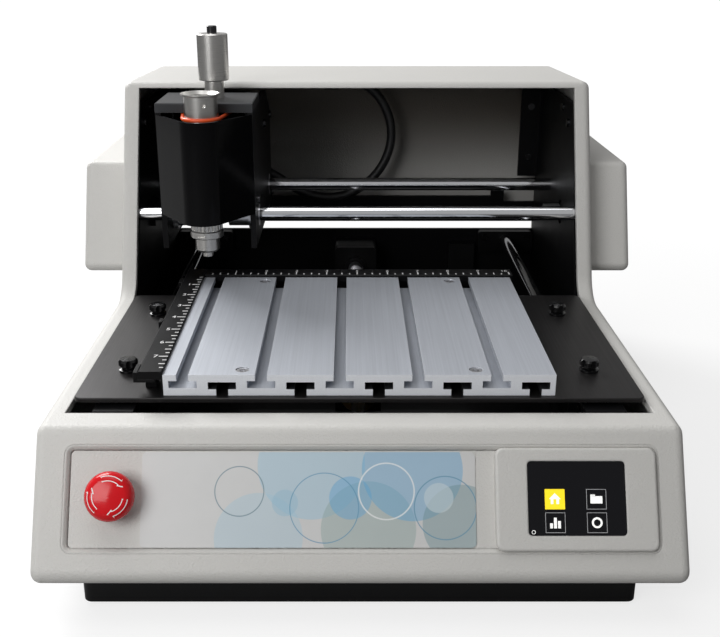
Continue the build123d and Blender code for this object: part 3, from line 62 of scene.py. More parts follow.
MM = 0.001
INCH = 25.4 * MM

# Console face: the corner line of its lip and the slope it runs down at
LIP_Y, LIP_Z = -227.3 * MM, 114.0 * MM
CONSOLE_TILT = math.radians(29.5)

# Recess of the console, and the cove that lies along its inner edge
PANEL_RECESS = 2.5 * MM
RECESS_LEFT, RECESS_RIGHT = -181.0 * MM, 183.0 * MM
RECESS_TOP, RECESS_BOTTOM = 11.0 * MM, 76.4 * MM
RECESS_CORNER = 6.0 * MM
COVE_SUNK, COVE_SKIN = 0.2 * MM, 0.03 * MM
COVE_STEPS, CORNER_STEPS = 8, 8

# Stop button: its place on the face and how round its gloss makes it look
STOP_X, STOP_DOWN = -150.5 * MM, 42.0 * MM
STOP_DOME = 60 * MM

# Stop cap, in millimetres above the recess's floor: a low cone that ends in a rolled edge
CAP_TOP, CONE_FALL, CONE_RADIUS = 18.3, 0.5, 9.5
ROLL_HEIGHT, ROLL_MIDDLE, ROLL_RADIUS = 12.337, 9.706, 5.467

# Arrows on the cap: where each starts, in degrees, the arc it spans, and its sizes
ARROW_STARTS = (112, 232, 352)
ARROW_SPAN, ARROW_HEAD_SPAN = math.radians(82), math.radians(20)
ARROW_MIDDLE, ARROW_HALF, ARROW_HEAD = 10.7 * MM, 1.7 * MM, 2.6 * MM
ARROW_LINE, ARROW_LIFT = 0.48 * MM, 0.08 * MM
ARROW_STEPS, MITRE_LIMIT = 12, 0.35

# Touch screen on the console face, and its tiles from the screen's middle and top
SCREEN_TOP, SCREEN_LIFT = -20.9 * MM, 2.95 * MM
LEFT_COLUMN, RIGHT_COLUMN = -13.4 * MM, 11.8 * MM
FIRST_ROW, ROW_PITCH = 28.9 * MM, 14.0 * MM
TILE_LINE, PRINT_DEPTH, SIGN_LIFT = 0.3 * MM, 0.05 * MM, 0.06 * MM

# Inner side of the hood's rear wall: darker and warmer than the casing, with painted roof shade
# towards its top
INNER_WALL_Y, INNER_WALL_TOP, INNER_WALL_HALF = 266.2 * MM, 278.5 * MM, 196.0 * MM
# Height under which the painted roof shade has faded out, and the span it fades over
WALL_SHADE_EDGE, WALL_SHADE_FADE = 195.0 * MM, 45.0 * MM

# Height at which the steel barrel ends and its plastic cap begins
BARREL_CAP_Z = 326.2 * MM

# Table: its slots lie an inch apart, in its top and its underside in turn. The outermost
# lower slot lies 3.5 in to the left of the middle, and all of them more than 5 mm down.
TABLE_LOW, TABLE_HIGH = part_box("t_slot_table")
# Below LOWER_SLOT_DEPTH the lower slots carry painted shade
LOWER_SLOT_OUT, LOWER_SLOT_PITCH, LOWER_SLOT_DEPTH = 3.5 * INCH, 2 * INCH, 5.0 * MM

# Rulers, their brackets (middle, half width and shift of the foot, in millimetres) and marks
SCALE_LOW, SCALE_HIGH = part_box("y_ruler")
CROSS_LOW, CROSS_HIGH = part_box("x_ruler")
BRACKETS = ((-183.8, 7.0, 9.5), (-94.0, 4.0, 0.0), (0.5, 6.0, -1.0))
ARM_THICK, FOOT_THICK, BRACKET_ROUND = 2.2 * MM, 1.8 * MM, 0.35 * MM
SIDE_INCHES, CROSS_INCHES = 8, 10
SIDE_MARK_EDGE, CROSS_MARK_EDGE = 0.5 * MM, 1.2 * MM
SIDE_NUMERAL_GAP, CROSS_NUMERAL_GAP, LAST_NUMERAL_SHIFT = 2.2 * MM, 3.0 * MM, -3.4 * MM
INK_DEPTH = 0.06 * MM

# Strain reliefs of the head cable, with their ribs in millimetres along the sleeve
GLAND_SLEEVE, PLATE_SLEEVE, SLEEVE_STEP = 22 * MM, 14 * MM, 0.5 * MM
SLEEVE_WALL, SLEEVE_TAPER = 2.2 * MM, 1.9 * MM
RIB_PITCH, RIB_WIDTH = 3.0, 2.0
RIB_DEPTH, RIB_MARGIN = 0.7 * MM, 1.5 * MM

# Camera, by the photograph's viewing angle: its place is taken from the table's front edge
CAMERA_X, CAMERA_BACK, CAMERA_RISE = -6.3 * MM, 594.8 * MM, 258.5 * MM
CAMERA_PITCH, SENSOR_WIDTH, LENS, SHIFT_X = 20.27, 36.0, 50.28, 0.01444

# Lamps: name, place, width in metres and power in watts; all face one point over the table
LAMPS = (
    ("front left lamp", (-0.70, -1.12, 0.75), 0.7, 9.2),
    ("rear left lamp", (-1.20, 1.35, 1.45), 1.1, 47.0),
    ("overhead lamp", (-0.3, -0.3, 2.2), 1.5, 14.5),
)
LAMP_AIM = Vector((0.0, 0.0, 0.14))

# Surround: how much of its white metal mirrors, and its strength where it only lights
MIRROR_SHARE, LIGHTING_LEVEL = 0.28, 0.12
FLOOR_HALF = 14.0


# Shader expressions

class Value:
    """A shader socket that Python's operators work on; each operator adds one Math node."""

    def __init__(self, nodes, socket):
        self.nodes = nodes
        self.socket = socket

    def math(self, operation, *values):
        """A Math node on these values, in this order."""
        return self.nodes.node("Math", {"operation": operation}, values)

    def __add__(self, other):
        return self.math("ADD", self, other)

    __radd__ = __add__

    def __sub__(self, other):
        return self.math("SUBTRACT", self, other)

    def __rsub__(self, other):
        return self.math("SUBTRACT", other, self)

    def __mul__(self, other):
        return self.math("MULTIPLY", self, other)

    __rmul__ = __mul__

    def __pow__(self, other):
        return self.math("POWER", self, other)

    def __abs__(self):
        return self.math("ABSOLUTE", self)

    def sine(self):
        """Sine of this value in radians."""
        return self.math("SINE", self)

    def most(self, other):
        """The larger of this value and another."""
        return self.math("MAXIMUM", self, other)

    def above(self, edge, soft):
        """0 below the edge and 1 above it, with a soft step between."""
        settings = {"interpolation_type": "SMOOTHSTEP"}
        return self.nodes.node("MapRange", settings, {0: self, 1: edge - soft, 2: edge + soft})

    def below(self, edge, soft):
        """1 below the edge and 0 above it, with a soft step between."""
        return 1.0 - self.above(edge, soft)


class Nodes:
    """The node tree of a material or a world, which expressions add their nodes to."""

    def __init__(self, owner):
        owner.use_nodes = True
        self.tree = owner.node_tree

    def feed(self, made, socket, value):
        """Gives a node's socket a value or a link."""
        if isinstance(value, Value):
            self.tree.links.new(value.socket, made.inputs[socket])
        else:
            made.inputs[socket].default_value = value

    def node(self, kind, settings=None, values=None, output=0):
        """Any shader node: its settings first, then the values or links of its sockets."""
        made = self.tree.nodes.new("ShaderNode" + kind)
        for key, value in (settings or {}).items():
            setattr(made, key, value)
        pairs = values.items() if isinstance(values, dict) else enumerate(values or ())
        for key, value in pairs:
            self.feed(made, key, value)
        return Value(self, made.outputs[output])

    def several(self, kind, values, outputs):
        """Several outputs of one shader node, as values."""
        made = self.node(kind, None, values).socket.node
        return [Value(self, made.outputs[output]) for output in outputs]


class Finish(Nodes):
    """A material that is built from expressions around one Principled shader."""

    def __init__(self, name, color, roughness=0.5, metallic=0.0):
        self.material = bpy.data.materials.new(name)
        super().__init__(self.material)
        self.shader = self.tree.nodes["Principled BSDF"]
        self.color = tuple(color)[:3] + (1.0,)
        self.material.diffuse_color = self.color
        self.set("Base Color", self.color)
        self.set("Roughness", roughness)
        self.set("Metallic", metallic)
        self.place = self.node("TexCoord", output="Object")

    def set(self, socket, value):
        """Gives the Principled shader's socket a value or a link."""
        self.feed(self.shader, socket, value)

    def axes(self):
        """The X, Y and Z object coordinates as three values."""
        return self.several("SeparateXYZ", (self.place,), (0, 1, 2))

    def stretched(self, scale):
        """Object coordinates times a scale per metre: one number, or one for each axis."""
        scales = tuple(scale) if isinstance(scale, (list, tuple)) else (scale, scale, scale)
        return self.node("VectorMath", {"operation": "MULTIPLY"}, {0: self.place, 1: scales})

    def noise(self, scale, detail=2.0, roughness=0.5):
        """Noise from 0 to 1 at this scale."""
        values = {
            "Vector": self.stretched(scale), "Scale": 1.0, "Detail": detail,
            "Roughness": roughness,
        }
        return self.node("TexNoise", None, values)

    def cells(self, scale):
        """Distance to the nearest cell point at this scale."""
        values = {"Vector": self.stretched(scale), "Scale": 1.0}
        return self.node("TexVoronoi", {"feature": "SMOOTH_F1"}, values)

    def blend(self, factor, low, high):
        """Colour between low and high by the factor."""
        return self.node("Mix", {"data_type": "RGBA"}, {0: factor, 6: low, 7: high}, 2)

    def tinted(self, *shares):
        """The finish's own colour times one share, or one for each of its parts."""
        return tuple(part * share for part, share in zip(self.color, shares * (3 // len(shares))))

    def shade(self, factor, low, high):
        """The finish's own colour times a number that runs from low to high with the factor."""
        light = tuple(min(1.0, part) for part in self.tinted(high))
        return self.blend(factor, self.tinted(low) + (1.0,), light + (1.0,))

    def rounded(self, radius):
        """The surface's normal, with sharp edges rounded to this radius."""
        return self.node("Bevel", {"samples": 6}, {"Radius": radius})

    def sharp_edge_mask(self, radius):
        """1 along sharp edges and 0 away from them."""
        flat = self.node("NewGeometry", output="Normal")
        values = (self.rounded(radius), flat)
        match = self.node("VectorMath", {"operation": "DOT_PRODUCT"}, values, "Value")
        return (1.0 - match).above(0.07, 0.06)

    def bump(self, height, distance, strength=1.0, over=None):
        """Raises the surface by the height, in metres of distance, over another normal."""
        values = {"Height": height, "Distance": distance, "Strength": strength}
        if over is not None:
            values["Normal"] = over
        made = self.node("Bump", None, values)
        self.set("Normal", made)
        return made

    def dome(self, middle_x, middle_down, radius):
        """The normal of a dome of this radius round one spot of the console face."""
        x, y, z = self.axes()
        down = (LIP_Y - y) * math.sin(CONSOLE_TILT) + (LIP_Z - z) * math.cos(CONSOLE_TILT)
        across, along = x - middle_x, down - middle_down
        return self.bump((across * across + along * along) * (-0.5 / radius), 1.0)


# Shared mesh helpers

def placed(name, data):
    """A new object in the scene that holds this mesh, curve, lamp or camera."""
    made = bpy.data.objects.new(name, data)
    bpy.context.scene.collection.objects.link(made)
    return made


def new_piece(name, mesh, body, material):
    """Puts a finished mesh into the scene as a piece that rides on a body."""
    mesh.materials.append(material)
    piece = placed(name, mesh)
    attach(piece, body)
    return piece


def mesh_of(name, shape):
    """The finished shape as a mesh; the shape itself is freed."""
    mesh = bpy.data.meshes.new(name)
    shape.to_mesh(mesh)
    shape.free()
    return mesh


def bridge(shape, near, far):
    """Four-cornered faces between two closed rings of as many points."""
    for step in range(len(near)):
        ahead = (step + 1) % len(near)
        shape.faces.new((near[step], near[ahead], far[ahead], far[step]))


def prism_mesh(name, outlines, height, place):
    """Flat outlines, each raised to the height and then put in place by a matrix."""
    shape = bmesh.new()
    for outline in outlines:
        face = shape.faces.new([shape.verts.new((x, y, 0.0)) for x, y in outline])
        if face.normal.z < 0:
            face.normal_flip()
        raised = bmesh.ops.extrude_face_region(shape, geom=[face])["geom"]
        tops = [part for part in raised if isinstance(part, bmesh.types.BMVert)]
        bmesh.ops.translate(shape, verts=tops, vec=(0.0, 0.0, height))
    bmesh.ops.recalc_face_normals(shape, faces=shape.faces)
    bmesh.ops.transform(shape, matrix=place, verts=shape.verts)
    return mesh_of(name, shape)


def bar(left, bottom, width, height):
    """A rectangle's four corners."""
    return [
        (left, bottom), (left + width, bottom),
        (left + width, bottom + height), (left, bottom + height),
    ]


def numeral_mesh(name, words, size, height):
    """Numerals as one mesh: words are (text, x, y) with the text centred there."""
    shape = bmesh.new()
    for text, x, y in words:
        letters = bpy.data.curves.new(name + "-letters", "FONT")
        letters.body = text
        letters.size = size
        letters.align_x = letters.align_y = "CENTER"
        letters.extrude = height / 2
        letters.resolution_u = 3
        holder = placed(name + "-holder", letters)
        bpy.context.view_layer.update()
        flat = bpy.data.meshes.new_from_object(holder)
        flat.transform(Matrix.Translation((x, y, height / 2)))
        shape.from_mesh(flat)
        bpy.data.objects.remove(holder)
        bpy.data.curves.remove(letters)
        bpy.data.meshes.remove(flat)
    return mesh_of(name, shape)


def tube_mesh(name, path, radii, sides=20):
    """A closed round tube along the path, with its own radius at each point."""
    shape = bmesh.new()
    rings = []
    across = Vector((0.0, 1.0, 0.0))
    for index, (point, radius) in enumerate(zip(path, radii)):
        before = path[max(0, index - 1)]
        after = path[min(len(path) - 1, index + 1)]
        run = (after - before).normalized()
        across = (across - run * across.dot(run)).normalized()
        up = run.cross(across)
        rings.append([
            shape.verts.new(point + radius * (math.cos(angle) * across + math.sin(angle) * up))
            for angle in (2 * math.pi * step / sides for step in range(sides))
        ])
    for ring, following in zip(rings, rings[1:]):
        bridge(shape, ring, following)
    shape.faces.new(list(reversed(rings[0])))
    shape.faces.new(rings[-1])
    bmesh.ops.recalc_face_normals(shape, faces=shape.faces)
    for face in shape.faces:
        face.smooth = len(face.verts) == 4
    return mesh_of(name, shape)


def console_matrix(lift):
    """Places X to the right and Y up the console face, lifted off the face."""
    normal = Vector((0.0, -math.cos(CONSOLE_TILT), math.sin(CONSOLE_TILT)))
    up = Vector((0.0, math.sin(CONSOLE_TILT), math.cos(CONSOLE_TILT)))
    right = Vector((1.0, 0.0, 0.0))
    place = Matrix((right, up, normal)).transposed().to_4x4()
    place.translation = Vector((0.0, LIP_Y, LIP_Z)) + normal * lift
    return place


# Finishes; noise scales are per metre, and widths and depths in metres

def pebble_finish(name, color, grain):
    """Moulded plastic with a fine pebble grain, and a duller inner rear wall with painted roof
    shade at its top.
    """
    finish = Finish(name, color, 0.48)
    cloud = finish.noise(9, 3.0)
    pebbles = finish.cells(1 / grain)
    speck = finish.noise(2.4 / grain)
    skin = finish.shade(0.55 * cloud + 0.45 * speck, 0.94, 1.04)
    x, y, z = finish.axes()
    # Inner rear wall: a darker, warmer tone, with painted shade from the roof that deepens
    # towards its top
    behind = y.above(INNER_WALL_Y - 1 * MM, 1 * MM) * y.below(INNER_WALL_Y + 0.4 * MM, 0.3 * MM)
    behind = behind * z.below(INNER_WALL_TOP, 0.5 * MM) * abs(x).below(INNER_WALL_HALF, 2 * MM)
    dark, lit = finish.tinted(0.16, 0.14, 0.115) + (1.0,), finish.tinted(0.7) + (1.0,)
    wall = finish.blend(z.below(WALL_SHADE_EDGE, WALL_SHADE_FADE), dark, lit)
    finish.set("Base Color", finish.blend(behind, skin, wall))
    finish.set("Roughness", 0.42 + 0.16 * speck)
    finish.bump(pebbles * 0.7 + speck * 0.5, 0.00036, 0.8, finish.rounded(1.8 * MM))
    return finish


def sheet_finish(name, color, roughness, metallic=0.0):
    """Painted or anodised black metal with a faint mottle and edges worn a little lighter."""
    finish = Finish(name, color, roughness, metallic)
    cloud = finish.noise(30, 4.0)
    grit = finish.noise(1500)
    worn = tuple(part * 2.5 + 0.008 for part in finish.color[:3]) + (1.0,)
    edge = finish.sharp_edge_mask(0.5 * MM) * (0.3 + 0.5 * cloud)
    finish.set("Base Color", finish.blend(edge, finish.shade(cloud, 0.8, 1.25), worn))
    finish.set("Roughness", roughness - 0.06 + 0.12 * cloud)
    finish.bump(grit, 0.00003, 0.5)
    finish.set("Specular IOR Level", 0.14)
    return finish


def polished_finish(name, color, along):
    """Polished chrome: a near mirror with faint rub marks along one axis."""
    finish = Finish(name, color, 0.07, 1.0)
    fine = [700.0, 700.0, 700.0]
    fine[along] = 4.0
    rubs = finish.noise(fine)
    haze = finish.noise(18, 3.0)
    finish.set("Base Color", finish.shade(haze, 0.94, 1.03))
    finish.set("Roughness", 0.04 + 0.05 * rubs + 0.04 * haze)
    return finish


def brushed_finish(name, color, roughness, along, metallic=1.0, contrast=0.12):
    """Brushed metal with strokes along one axis; no contrast leaves its colour to the caller."""
    finish = Finish(name, color, roughness, metallic)
    fine = [1100.0, 1100.0, 1100.0]
    broad = [160.0, 160.0, 160.0]
    fine[along] = 9.0
    broad[along] = 2.0
    strokes = finish.noise(fine, 3.0, 0.6)
    if contrast:
        mottle = 0.6 * strokes + 0.4 * finish.noise(broad)
        finish.set("Base Color", finish.shade(mottle, 1 - contrast, 1 + contrast))
    finish.set("Roughness", roughness - 0.1 + 0.2 * strokes)
    finish.bump(strokes, 0.00004, 0.6)
    return finish


def table_finish(looks):
    """Brushed table: bright cut ends, painted highlight on sharp edges, and painted shade inside
    the lower slots.
    """
    metallic = 0.35
    finish = brushed_finish("table extrusion", looks.table, 0.44, 1, metallic, 0.0)
    x, y, z = finish.axes()
    top = finish.shade(finish.noise((900, 7, 900), 3.0, 0.6), 0.84, 1.14)
    end = finish.blend(finish.noise(1500), (0.72, 0.74, 0.78, 1), (0.86, 0.885, 0.93, 1))
    at_end = y.below(TABLE_LOW.y + 0.1 * MM, 0.05 * MM)
    finish.set("Metallic", metallic - metallic * at_end)
    # Painted shade: the lower slots' inner faces go near black below their depth
    turn = (x + LOWER_SLOT_OUT) * (2 * math.pi / LOWER_SLOT_PITCH)
    near_slot = (turn + math.pi / 2).sine().above(0.40, 0.02)
    low = z.below(TABLE_HIGH.z - LOWER_SLOT_DEPTH, 0.1 * MM)
    slot_painted_shade = near_slot * low * y.above(TABLE_LOW.y + 0.4 * MM, 0.3 * MM)
    # Painted highlight: sharp edges lightened as if they catch the light
    edge_painted_highlight = finish.blend(finish.sharp_edge_mask(0.6 * MM) * 0.7, top, (0.88, 0.89, 0.92, 1))
    metal = finish.blend(at_end, edge_painted_highlight, end)
    finish.set("Base Color", finish.blend(slot_painted_shade * 0.94, metal, (0.004, 0.004, 0.004, 1)))
    return finish


def turned_finish(name, color, roughness, cap_z=None):
    """Steel with a lathe's fine rings round an upright axis, and black plastic above cap_z."""
    finish = Finish(name, color, roughness, 1.0)
    rings = finish.noise((25, 25, 5200), 2.0, 0.6)
    if cap_z is None:
        stains = finish.noise((240, 240, 160), 3.0)
        finish.set("Base Color", finish.shade(0.5 * rings + 0.5 * stains, 0.84, 1.1))
    else:
        steel = finish.axes()[2].below(cap_z, 0.1 * MM)
        finish.set("Base Color", finish.blend(steel, (0.01, 0.01, 0.012, 1), finish.color))
        finish.set("Metallic", steel)
    finish.set("Roughness", roughness - 0.08 + 0.16 * rings)
    finish.bump(rings, 0.00003, 0.6)
    return finish


def gloss_finish(name, color, roughness, coat, specular=0.35, dome=None):
    """Glossy plastic with orange peel and a few fine marks, which may mirror as a dome does."""
    finish = Finish(name, color, roughness)
    peel = finish.noise((130, 130, 60), 1.0)
    marks = finish.noise((900, 900, 40), 3.0)
    finish.set("Roughness", roughness + 0.05 * marks)
    finish.set("Coat Weight", coat)
    finish.set("Coat Roughness", 0.04)
    finish.set("Specular IOR Level", specular)
    if dome is None:
        finish.bump(peel, 0.00006, 0.5)
    else:
        finish.bump(peel, 0.00004, 0.5, finish.dome(*dome))
    return finish


def plain_finish(name, color, roughness):
    """Small rubber and print parts: an even colour with a fine dust of roughness."""
    finish = Finish(name, color, roughness)
    dust = finish.noise(700)
    finish.set("Base Color", finish.shade(dust, 0.93, 1.07))
    finish.set("Roughness", roughness - 0.04 + 0.08 * dust)
    return finish


def lit_finish(name, color, strength):
    """A lit area of the screen, with a slight unevenness."""
    finish = Finish(name, color, 0.3)
    glow = finish.noise(60, 1.0)
    finish.set("Emission Color", finish.shade(glow, 0.9, 1.05))
    finish.set("Emission Strength", strength)
    return finish


def jacket_finish():
    """Black cable jacket with a fine uneven skin."""
    finish = Finish("cable jacket", (0.010, 0.010, 0.011), 0.42)
    skin = finish.noise(420)
    finish.set("Roughness", 0.36 + 0.14 * skin)
    finish.bump(skin, 0.0002, 0.5)
    return finish


def overlay_finish(looks):
    """Printed console film: soft discs and thin rings that overlap on a pale ground."""
    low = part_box("front_overlay")[0]
    finish = Finish("overlay film", looks.overlay_ground, 0.4)
    x, y, z = finish.axes()
    rise = (y - low.y) * math.sin(CONSOLE_TILT) + (z - low.z) * math.cos(CONSOLE_TILT)
    across = x - low.x
    print_color = finish.shade(finish.noise(60, 3.0), 0.96, 1.04)
    # Middle, height and radius in millimetres, colour and weight
    discs = (
        (72, 6, 27, (0.43, 0.60, 0.70, 1), 0.50), (104, 50, 33, (0.36, 0.58, 0.72, 1), 0.55),
        (139, 11, 29, (0.30, 0.42, 0.40, 1), 0.50), (166, 47, 31, (0.14, 0.43, 0.68, 1), 0.55),
        (196, 14, 24, (0.20, 0.34, 0.37, 1), 0.55), (128, 30, 13, (0.12, 0.42, 0.70, 1), 0.50),
        (182, 30, 9, (0.62, 0.72, 0.76, 1), 0.60), (88, 27, 8, (0.30, 0.52, 0.66, 1), 0.45),
    )
    # Middle, height, radius and half width in millimetres, and colour
    rings = (
        (60, 34, 15, 0.35, (0.14, 0.24, 0.30, 1)), (112, 24, 21, 0.30, (0.10, 0.30, 0.48, 1)),
        (150, 34, 17, 0.45, (0.86, 0.88, 0.88, 1)), (186, 24, 19, 0.35, (0.12, 0.30, 0.44, 1)),
    )

    def reach(middle, height):
        return ((across - middle * MM) ** 2 + (rise - height * MM) ** 2) ** 0.5

    for middle, height, radius, color, weight in discs:
        disc = reach(middle, height).below(radius * MM, 0.25 * MM)
        print_color = finish.blend(disc * weight, print_color, color)
    for middle, height, radius, half, color in rings:
        line = abs(reach(middle, height) - radius * MM).below(half * MM, 0.1 * MM)
        print_color = finish.blend(line * 0.75, print_color, color)
    finish.set("Base Color", print_color)
    finish.set("Coat Weight", 0.08)
    finish.bump(finish.noise(900), 0.00003, 0.4)
    return finish


# Properties that a user would change

COLOR = {"subtype": "COLOR", "size": 3, "min": 0, "max": 1}
LENGTH = {"subtype": "DISTANCE", "unit": "LENGTH"}


class EngraverFinishes(bpy.types.PropertyGroup):
    """Colours and grain of the machine's surfaces."""

    casing: bpy.props.FloatVectorProperty(
        name="Casing", description="Pale moulded casing",
        default=(0.63, 0.62, 0.595), **COLOR,
    )
    casing_grain: bpy.props.FloatProperty(
        name="Casing Grain", description="Size of one pebble of the casing's texture",
        default=0.0011, min=0.0002, max=0.01, **LENGTH,
    )
    black: bpy.props.FloatVectorProperty(
        name="Black Metal", description="Anodised and painted black metal",
        default=(0.0035, 0.0035, 0.004), **COLOR,
    )
    deck: bpy.props.FloatVectorProperty(
        name="Deck", description="Dark brushed deck plate",
        default=(0.027, 0.0255, 0.026), **COLOR,
    )
    table: bpy.props.FloatVectorProperty(
        name="Table", description="Clear anodised slotted table",
        default=(0.50, 0.525, 0.575), **COLOR,
    )
    steel: bpy.props.FloatVectorProperty(
        name="Turned Steel", description="Spindle, nose and barrel",
        default=(0.63, 0.62, 0.60), **COLOR,
    )
    chrome: bpy.props.FloatVectorProperty(
        name="Rails", description="Chromed guide rails",
        default=(0.88, 0.89, 0.92), **COLOR,
    )
    cover: bpy.props.FloatVectorProperty(
        name="Spindle Cover", description="Glossy cover and knobs",
        default=(0.004, 0.004, 0.0045), **COLOR,
    )
    belt: bpy.props.FloatVectorProperty(
        name="Belt", description="Round drive belt",
        default=(0.86, 0.10, 0.02), **COLOR,
    )
    stop_red: bpy.props.FloatVectorProperty(
        name="Stop Button", description="Emergency stop cap",
        default=(0.68, 0.006, 0.012), **COLOR,
    )
    overlay_ground: bpy.props.FloatVectorProperty(
        name="Overlay Ground", description="Ground colour of the console film",
        default=(0.64, 0.64, 0.635), **COLOR,
    )


class EngraverMarks(bpy.types.PropertyGroup):
    """Sizes of the scale marks, numerals, screen tiles, panel cove and head cable."""

    mark_width: bpy.props.FloatProperty(
        name="Mark Width", description="Width of one scale mark",
        default=0.0010, min=0.0002, max=0.002, **LENGTH,
    )
    inch_mark: bpy.props.FloatProperty(
        name="Inch Mark", description="Length of an inch mark",
        default=0.0062, min=0.001, max=0.012, **LENGTH,
    )
    half_mark: bpy.props.FloatProperty(
        name="Half Mark", description="Length of a half inch mark",
        default=0.0042, min=0.001, max=0.012, **LENGTH,
    )
    quarter_mark: bpy.props.FloatProperty(
        name="Quarter Mark", description="Length of a quarter inch mark",
        default=0.0027, min=0.001, max=0.012, **LENGTH,
    )
    side_numeral: bpy.props.FloatProperty(
        name="Side Numeral", description="Letter size on the left ruler",
        default=0.0064, min=0.001, max=0.01, **LENGTH,
    )
    cross_numeral: bpy.props.FloatProperty(
        name="Cross Numeral", description="Letter size on the rear ruler",
        default=0.0056, min=0.001, max=0.01, **LENGTH,
    )
    tile_size: bpy.props.FloatProperty(
        name="Screen Tile", description="Width of one tile on the screen",
        default=0.0121, min=0.004, max=0.02, **LENGTH,
    )
    cove_width: bpy.props.FloatProperty(
        name="Panel Cove", description="Width of the soft edge inside the console's recess",
        default=0.0035, min=0.001, max=0.005, **LENGTH,
    )
    cable_diameter: bpy.props.FloatProperty(
        name="Cable", description="Diameter of the head cable",
        default=0.009, min=0.003, max=0.02, **LENGTH,
    )


# Operators

class ENGRAVER_OT_stage(bpy.types.Operator):
    """Sets the floor, the lamps, the world and the camera"""

    bl_idname = "engraver.stage"
    bl_label = "Set Stage"

    def execute(self, context):
        scene = context.scene
        scene.view_settings.view_transform = "Standard"
        self.floor()
        self.world(scene)
        for lamp in LAMPS:
            self.lamp(*lamp)
        self.camera(scene)
        return {"FINISHED"}

    def floor(self):
        """A wide floor: nearly white to the camera, with a soft shadow, and duller elsewhere."""
        finish = Finish("floor", (0.9, 0.9, 0.9), 0.7)
        x, y, _ = finish.axes()
        far = ((x * x + y * y) ** 0.5).above(0.75, 0.45)
        rays = finish.node("LightPath", output="Is Camera Ray")
        finish.set("Base Color", finish.blend(rays, (0.24, 0.24, 0.24, 1), finish.color))
        white = finish.node("Emission", None, {"Color": (1, 1, 1, 1), "Strength": 1.05})
        surface = Value(finish, finish.shader.outputs[0])
        mixed = finish.node("MixShader", None, ((0.72 + 0.28 * far) * rays, surface, white))
        finish.feed(finish.tree.nodes["Material Output"], "Surface", mixed)
        shape = bmesh.new()
        bmesh.ops.create_grid(shape, x_segments=1, y_segments=1, size=FLOOR_HALF)
        mesh = mesh_of("floor", shape)
        mesh.materials.append(finish.material)
        floor = placed("floor", mesh)

    def world(self, scene):
        """An even surround: white where it is seen, dimmer in mirrors and where it lights."""
        scene.world = bpy.data.worlds.new("surround")
        surround = Nodes(scene.world)
        seen, through, glossy = surround.several(
            "LightPath", None, ("Is Camera Ray", "Is Transmission Ray", "Is Glossy Ray"),
        )
        mirrored = surround.node(
            "Math", {"operation": "MULTIPLY_ADD", "use_clamp": True},
            (glossy, MIRROR_SHARE, seen.most(through)),
        )
        values = {"Value": mirrored, "To Min": LIGHTING_LEVEL, "To Max": 1.0}
        background = surround.tree.nodes["Background"]
        surround.feed(background, "Color", (1.0, 1.0, 1.0, 1.0))
        surround.feed(background, "Strength", surround.node("MapRange", None, values))

    def lamp(self, name, place, width, power):
        """A square soft lamp that faces the table."""
        light = bpy.data.lights.new(name, "AREA")
        light.size, light.energy = width, power
        lamp = placed(name, light)
        lamp.location = place
        lamp.rotation_euler = (LAMP_AIM - lamp.location).to_track_quat("-Z", "Y").to_euler()

    def camera(self, scene):
        """The camera, placed by the table's front edge as the photograph's was."""
        data = bpy.data.cameras.new("camera")
        data.sensor_width, data.lens, data.shift_x = SENSOR_WIDTH, LENS, SHIFT_X
        scene.camera = camera = placed("camera", data)
        camera.location = (CAMERA_X, TABLE_LOW.y - CAMERA_BACK, TABLE_HIGH.z + CAMERA_RISE)
        camera.rotation_euler = (math.radians(90 - CAMERA_PITCH), 0.0, 0.0)


